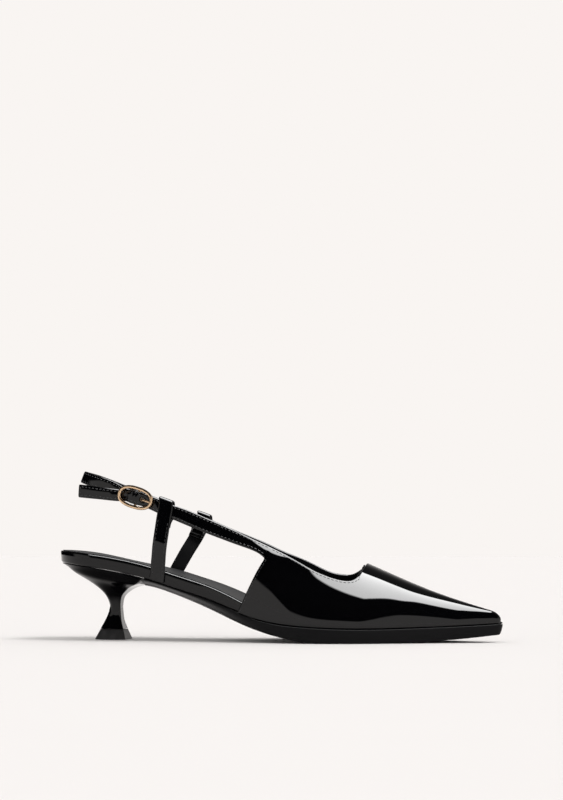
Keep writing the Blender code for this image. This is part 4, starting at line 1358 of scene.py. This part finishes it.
# %% Rings of the heel
HEEL_RINGS = table(
    "back_along back_up front_along front_up half_width breast",
    (6.3, 39.4, 46.6, 32.0, 19.6, 17.0),
    (14.0, 34.7, 41.6, 30.4, 13.2, 10.2),
    (20.7, 30.0, 37.7, 27.8, 8.8, 6.0),
    (25.1, 25.4, 35.2, 24.8, 6.3, 4.1),
    (27.2, 20.6, 34.4, 20.6, 5.0, 3.3),
    (27.1, 18.0, 34.4, 18.0, 4.6, 3.1),
    (26.1, 14.6, 34.7, 14.6, 4.4, 3.1),
    (24.0, 10.3, 35.4, 10.3, 5.2, 3.8),
    (21.7, 6.2, 36.8, 6.2, 7.0, 5.2),
    (18.5, 0.0, 38.8, 0.0, 10.2, 8.0),
)
HEEL_SEAT_INSET = 0.9
SEAT_BULGE = 0.35
LIP_EDGE = 0.3
LIP_DEPTH = 3.9
LIP_START = 38.0
LIP_WIDTH = 13.0
LIP_FADE = 7.0
BACK_STEPS = 48
SIDE_STEPS = 16
BREAST_STEPS = 4
HEEL_LEVELS = 90
CORNER = 0.03


def heel_outline(back, front, half, breast):
    """A rounded back, sides that close in, and a flat breast."""
    middle = (back + front) / 2.0
    turn = np.linspace(0.0, math.pi, BACK_STEPS + 1)
    along = [middle - (middle - back) * np.sin(turn)]
    across = [-half * np.cos(turn)]
    share = np.linspace(0.0, 1.0 - CORNER, SIDE_STEPS + 1)[1:]
    side_along = middle + (front - middle) * share
    side_across = half - (half - breast) * share ** 2
    face = np.linspace(1.0 - CORNER, -1.0 + CORNER, 2 * BREAST_STEPS + 1) * breast
    along += [side_along, np.full_like(face, front), side_along[::-1]]
    across += [side_across, face, -side_across[::-1]]
    return np.concatenate(along), np.concatenate(across)


def heel_ring(row):
    back, back_up, front, front_up, half, breast = row
    along, across = heel_outline(back, front, half, breast)
    share = (along - back) / (front - back)
    return np.stack([along, across, back_up + (front_up - back_up) * share], axis=-1)


def heel_seat():
    front = BREAST - GAP
    breast = float(half_width(MEDIAL, np.array(front), 0.0)) - HEEL_SEAT_INSET
    half = HEEL_RADIUS + EDGE_ROUND - HEEL_SEAT_INSET
    along, across = heel_outline(BACK + HEEL_SEAT_INSET, front, half, breast)
    return np.stack([along, across, sole_top(along)], axis=-1)


def heel_lip(seat):
    """Just under the seat, and drawn down at the breast to the underside of the outsole."""
    along, across, up = seat.T
    forward_share = np.clip((along - LIP_START) / (BREAST - GAP - LIP_START), 0.0, 1.0)
    side_share = np.clip((np.abs(across) - LIP_WIDTH) / LIP_FADE, 0.0, 1.0)
    drop = LIP_EDGE + LIP_DEPTH * forward_share ** 2 * (1.0 - side_share)
    return np.stack([along, across, up - drop], axis=-1)


def heel_stack(rings):
    """Rings with a closing face at each end."""
    points, faces = stack(rings)
    count = len(rings[0])
    last = len(points) - count
    return points, faces + [list(range(count))[::-1], list(range(last, last + count))]


print("heel rings:", len(HEEL_RINGS), "of", len(heel_seat()), "points")

# %% [markdown]
# ## Heel cover and top piece
# The cover is patent with a dimmed mirror on the flared part under the seat, which is painted shade for the
# dark reflection there, and the breast has a brighter polish of its own.
# The top piece below is hard rubber that takes up the heel's outline and widens to the floor.

# %% Heel and top piece
HEEL_CORNER = math.radians(32.0)
BREAST_FORWARD = 0.15
BREAST_SIDEWAYS = 0.3
# Heights, in metres, over which the painted shade of the flared part under the seat fades in.
FLARE_SHADE_FROM = (0.021, 0.026)
TOP_PIECE_MIDDLE = 29.0
TOP_PIECE_PROFILE = table(
    "share shrink",
    (0.0, 0.95), (0.0, 0.99), (0.06, 1.0), (0.5, 1.0), (0.93, 1.0), (1.0, 0.985), (1.0, 0.9),
)


def polish_breast(made):
    """Give the second finish to the faces that look forward."""
    for face in made.data.polygons:
        looks_forward = face.normal.x > BREAST_FORWARD and abs(face.normal.y) < BREAST_SIDEWAYS
        face.material_index = 1 if looks_forward else 0


def make_heel(covers):
    body = np.array([heel_ring(row) for row in HEEL_RINGS[:-1]])
    seat = heel_seat()
    lip = heel_lip(seat)
    between = (lip + body[0]) / 2.0 + (0.0, 0.0, SEAT_BULGE)
    knots = np.concatenate([[lip, between], body])
    places = np.linspace(0.0, len(knots) - 1.0, HEEL_LEVELS)
    rings = [seat] + list(spline(np.arange(len(knots)), knots)(places))
    made = turn_outward(piece("heel_block", *heel_stack(rings), covers, "heel_cover", "heel"))
    made.data.set_sharp_from_angle(angle=HEEL_CORNER)
    polish_breast(made)


def make_top_piece(rubber):
    joint = HEEL_RINGS[-2]
    joint = joint._replace(back_up=joint.back_up - GAP, front_up=joint.front_up - GAP)
    upper_end, lower_end = heel_ring(joint), heel_ring(HEEL_RINGS[-1])
    middle = np.array((TOP_PIECE_MIDDLE, 0.0, 0.0))
    rings = []
    for row in TOP_PIECE_PROFILE:
        loop = upper_end + (lower_end - upper_end) * row.share
        rings.append(middle + (loop - middle) * (row.shrink, row.shrink, 1.0))
    points, faces = heel_stack(rings)
    made = turn_outward(piece("top_piece", points, faces, [rubber], "top_piece_rubber", "heel_top_piece"))
    made.data.set_sharp_from_angle(angle=HEEL_CORNER)


def rubber_surface(start):
    specks = noise(start, 1400.0, 3.0)
    scuffs = noise(start, 260.0, 5.0)
    tone = scuffs.between(0.35, 0.75).blend(colour(0.025, 0.0245, 0.0245), colour(0.035, 0.034, 0.034))
    return unlacquered(start, tone, 0.36 + 0.16 * specks, 0.3, bumped(start, specks, 0.35, 0.0001))


def heel_cover_surface(start):
    here = start.node("ShaderNodeTexCoord", out="Object")
    # Painted shade: from 21 to 26 mm up the heel the mirror fades to a dim copy of the lacquer, standing in
    # for the dark reflection under the seat.
    painted_flare_shade = start.node("ShaderNodeSeparateXYZ", {}, {"Vector": here}, "Z").between(*FLARE_SHADE_FROM)
    sides = {0: painted_flare_shade, 1: lacquer(0.4, 0.03)(start), 2: lacquer(0.045, 0.12)(start)}
    return start.node("ShaderNodeMixShader", {}, sides)


heel_cover = finish("heel_cover", heel_cover_surface)
heel_breast = finish("heel_breast", lacquer(0.36, 0.05, coat=0.38))
make_heel([heel_cover, heel_breast])
make_top_piece(finish("hard_rubber", rubber_surface))

# %% [markdown]
# ## The buckle
# The frame is a rounded oval wire of pale gold, with a bar across its back that the sling folds round and
# a prong that lies over the frame. Each is a tube swept along its own line, so a helper that carries a
# round section along a path makes them all.

# %% Tubes and gold
TUBE_SIDES = 20


def tube(path, radii, reference, is_ring):
    """Points and faces of a round section carried along a path."""
    if is_ring:
        run = unit(np.roll(path, -1, axis=0) - np.roll(path, 1, axis=0))
    else:
        run = unit(np.gradient(path, axis=0))
    first = unit(np.cross(run, reference))
    second = np.cross(run, first)
    turn = np.linspace(0.0, 2.0 * math.pi, TUBE_SIDES, endpoint=False)[None, :, None]
    radii = np.broadcast_to(np.asarray(radii, float), (len(path),))[:, None, None]
    points = path[:, None] + radii * (np.cos(turn) * first[:, None] + np.sin(turn) * second[:, None])
    index = np.arange(points.shape[0] * TUBE_SIDES).reshape(points.shape[:2])
    if is_ring:
        index = np.concatenate([index, index[:1]])
    faces = quads(closed(index))
    if not is_ring:
        faces += [index[0].tolist(), index[-1][::-1].tolist()]
    return points.reshape(-1, 3), faces


def join(parts):
    points = []
    faces = []
    for part_points, part_faces in parts:
        first = len(points)
        points.extend(part_points)
        faces += [[at + first for at in face] for face in part_faces]
    return np.array(points), faces


def gold_surface(start):
    brushed = noise(start, 500.0, 3.0)
    cloud = noise(start, 120.0, 2.0)
    normal = bumped(start, brushed, 0.15, 0.00002)
    tone = cloud.blend(colour(0.72, 0.50, 0.31), colour(0.80, 0.58, 0.38))
    sockets = {"Base Color": tone, "Metallic": 1.0, "Roughness": 0.26 + 0.08 * brushed, "Normal": normal}
    return start.node("ShaderNodeBsdfPrincipled", {}, sockets)


gold = finish("pale_gold", gold_surface)

# %% Buckle frame, bar and prong
FRAME_HALF_LENGTH = 10.0
FRAME_HALF_HEIGHT = 5.45
FRAME_RADIUS = 1.0
FRAME_OUT = 0.4
FRAME_SQUARE = 2.4
FRAME_STEPS = 96
BAR_BEND = 1.0
BAR_BEND_STEPS = 7
PRONG_RADIUS = 0.6
PRONG_PATH = ((2.0, -2.8), (3.1, -1.7), (4.3, 0.4), (5.7, 2.0), (7.9, 2.7), (10.3, 2.6))
PRONG_STEPS = 40
PRONG_TAPER = 0.35
PRONG_END = 0.02


def rounded(values, power):
    return np.sign(values) * np.abs(values) ** power


def frame_line():
    """Even points round the frame's oval."""
    turn = np.linspace(0.0, 2.0 * math.pi, FRAME_STEPS, endpoint=False)
    power = 2.0 / FRAME_SQUARE
    ahead = FRAME_HALF_LENGTH * rounded(np.cos(turn), power)
    height = FRAME_HALF_HEIGHT * rounded(np.sin(turn), power)
    oval = buckle_point(ahead, height, FRAME_OUT)
    loop = np.concatenate([oval, oval[:1]])
    travelled = chord(loop)
    return at_places(np.linspace(0.0, travelled[-1], FRAME_STEPS, endpoint=False), travelled, loop)


def bar_line():
    """From the frame's top edge back, down behind the strap, and out to the lower edge."""
    bend = np.linspace(0.0, math.pi / 2.0, BAR_BEND_STEPS)
    arm = [(FRAME_HALF_HEIGHT, FRAME_OUT)]
    arm += list(zip(FRAME_HALF_HEIGHT - BAR_BEND + BAR_BEND * np.cos(bend),
                    BAR_OUT + BAR_BEND - BAR_BEND * np.sin(bend)))
    arm += [(-height, out) for height, out in arm[::-1]]
    bar_height, bar_out = np.array(arm).T
    return buckle_point(0.0, bar_height, bar_out)


def make_frame():
    oval = tube(frame_line(), FRAME_RADIUS, outward, True)
    bar = tube(bar_line(), BAR_RADIUS, forward, False)
    turn_outward(piece("buckle_oval", *join([oval, bar]), [gold], "gold_metal", "buckle_frame"))


def make_prong():
    knots = np.array(PRONG_PATH)
    place = np.linspace(0.0, len(knots) - 1.0, PRONG_STEPS)
    ahead, out = spline(np.arange(len(knots)), knots)(place).T
    tip = np.clip((len(knots) - 1.0 - place) / PRONG_TAPER, 0.0, 1.0)
    radii = PRONG_RADIUS * np.sqrt(np.clip(1.0 - (1.0 - tip) ** 2, PRONG_END, 1.0))
    prong = tube(buckle_point(ahead, 0.0, out), radii, upward, False)
    turn_outward(piece("buckle_tongue", *prong, [gold], "gold_metal", "buckle_prong"))


make_frame()
make_prong()

# %% [markdown]
# ## The softbox and the gold
# Metal mirrors the softbox far more strongly than lacquer does, and the gold would turn white. Light
# linking names the pieces that a light leaves out, so the buckle only mirrors the floor, cards and sweep.

# %% Keep the softbox off the gold
gold_pieces = bpy.data.collections.new("gold_pieces")
for name in ("buckle_oval", "buckle_tongue"):
    gold_pieces.objects.link(bpy.data.objects[name])
for entry in gold_pieces.collection_objects:
    entry.light_linking.link_state = "EXCLUDE"
softbox_place.light_linking.receiver_collection = gold_pieces

# %% [markdown]
# ## Stitches
# Black thread runs close to every folded edge. Each stitch is a short rounded dash, half sunk in the
# leather, and a row of them is one joined mesh. The rows follow the edges of the grids that made the
# leather, a little way in, so they stay on the surface.

# %% Rows of stitches
STITCH_PITCH = 2.3
STITCH_HALF = 0.8
STITCH_WIDE = 0.24
STITCH_HIGH = 0.2
STITCH_INSET = 1.5
STITCH_ROUND = 8
STITCH_LONG = 5
STITCH_TAPER = 0.6
STITCH_END = 0.05


def stitch_row(line, away):
    """Dashes along a line of points, standing on the surface whose outward directions are given."""
    travelled = chord(line)
    count = max(int(travelled[-1] / STITCH_PITCH), 1)
    middles = (np.arange(count) + 0.5) * travelled[-1] / count
    at = at_places(middles, travelled, line)
    out = unit(at_places(middles, travelled, away))
    ends = [np.clip(middles + step, 0.0, travelled[-1]) for step in (-STITCH_HALF, STITCH_HALF)]
    back, front = (at_places(end, travelled, line) for end in ends)
    run = unit(front - back)
    out = unit(out - run * np.sum(out * run, axis=-1, keepdims=True))
    cross = np.cross(run, out)
    slices = np.linspace(-math.pi / 2.0, math.pi / 2.0, STITCH_LONG + 2)
    turn = np.linspace(0.0, 2.0 * math.pi, STITCH_ROUND, endpoint=False)
    parts = []
    for number in range(count):
        rings = []
        for slice_turn in slices:
            thick = max(max(math.cos(slice_turn), 0.0) ** STITCH_TAPER, STITCH_END)
            ring_points = (
                at[number]
                + run[number] * STITCH_HALF * math.sin(slice_turn)
                + thick * STITCH_WIDE * np.cos(turn)[:, None] * cross[number]
                + thick * STITCH_HIGH * np.sin(turn)[:, None] * out[number]
            )
            rings.append(ring_points)
        parts.append(heel_stack(rings))
    return join(parts)


def grid_away(grid, side):
    """Outward directions of a grid's points."""
    away = unit(np.cross(np.gradient(grid, axis=0), np.gradient(grid, axis=1)))
    return away * np.where(np.sum(away * (0.0, side, 0.35), axis=-1, keepdims=True) < 0.0, -1.0, 1.0)


def inset_line(edge, inner, distance):
    return edge + unit(inner - edge) * distance


def seam_line(grid, distance):
    """Points on the grid at a distance from its first row, measured down each column."""
    return np.array([at_places(distance, chord(column), column) for column in grid])


# %% Seams of the upper
THROAT_COLUMNS = 3
INNER_ROW = 4


def collar_seam(grid, away):
    """A line on the surface at an even distance from the collar's edge, and its outward directions."""
    edge = grid[: COLLAR_COLUMNS - THROAT_COLUMNS, 0]
    inward = unit(np.cross(away[: len(edge), 0], np.gradient(edge, axis=0)))
    inner = grid[: len(edge), INNER_ROW] - edge
    inward = inward * np.sign(np.sum(inward * inner, axis=-1, keepdims=True))
    index = np.arange(grid.shape[0] * grid.shape[1]).reshape(grid.shape[:2])
    surface = BVHTree.FromPolygons(grid.reshape(-1, 3).tolist(), quads(index))
    found = [surface.find_nearest(Vector(point)) for point in edge + inward * STITCH_INSET]
    line = np.array([place for place, *_ in found])
    out = np.array([normal for _, normal, *_ in found])
    return line, out * np.sign(np.sum(out * away[: len(edge), 0], axis=-1, keepdims=True))


def upper_stitches():
    parts = []
    for side in SIDES:
        grid = upper_sides[side]
        away = grid_away(grid, side)
        strap = upper_straps[side]
        strap_away = grid_away(strap, side)
        parts.append(stitch_row(*collar_seam(grid, away)))
        edge = slice(STRAP_ROWS, None)
        parts.append(stitch_row(inset_line(grid[0, edge], grid[2, edge], STITCH_INSET), away[1, edge]))
        for order, row in ((1, 1), (-1, -2)):
            line = seam_line(strap[1:-1, ::order], STITCH_INSET)
            parts.append(stitch_row(line, strap_away[1:-1, row]))
        if side == LATERAL:
            tip = inset_line(strap[-1, 1:-1], strap[-5, 1:-1], STITCH_INSET)
            parts.append(stitch_row(tip, strap_away[-1, 1:-1]))
    return join(parts)


# %% Thread, and the stitching of every strap
SLING_SEAM = slice(2, -24)
STAY_SEAM_START = 4
STAY_SEAM_BELOW = 1.0


def ribbon_stitches(top, low):
    away = unit(np.cross(low - top, np.gradient((top + low) / 2.0, axis=0)))
    parts = [stitch_row(inset_line(*pair, STITCH_INSET), away) for pair in ((top, low), (low, top))]
    return join(parts)


def thread_surface(start):
    twist = noise(start, 2600.0, 2.0)
    tone = twist.blend(colour(0.016, 0.016, 0.017), colour(0.028, 0.028, 0.03))
    return unlacquered(start, tone, 0.36 + 0.15 * twist, 0.35, bumped(start, twist, 0.5, 0.0001))


thread = finish("black_thread", thread_surface)
turn_outward(piece("upper_stitching", *upper_stitches(), [thread], "patent_leather"))
sling_rows = ribbon_stitches(sling_top[SLING_SEAM], sling_low[SLING_SEAM])
turn_outward(piece("sling_stitching", *sling_rows, [thread], "patent_leather"))
for side in SIDES:
    heights = sum(stay_edges[side])[:, 2] / 2.0
    loop_start = int(np.argmax(heights > STAYS[side].strap_low - STAY_SEAM_BELOW))
    stay_rows = ribbon_stitches(*(edge[STAY_SEAM_START:loop_start] for edge in stay_edges[side]))
    turn_outward(piece("stay_stitching_" + SIDE_NAME[side], *stay_rows, [thread], "patent_leather"))
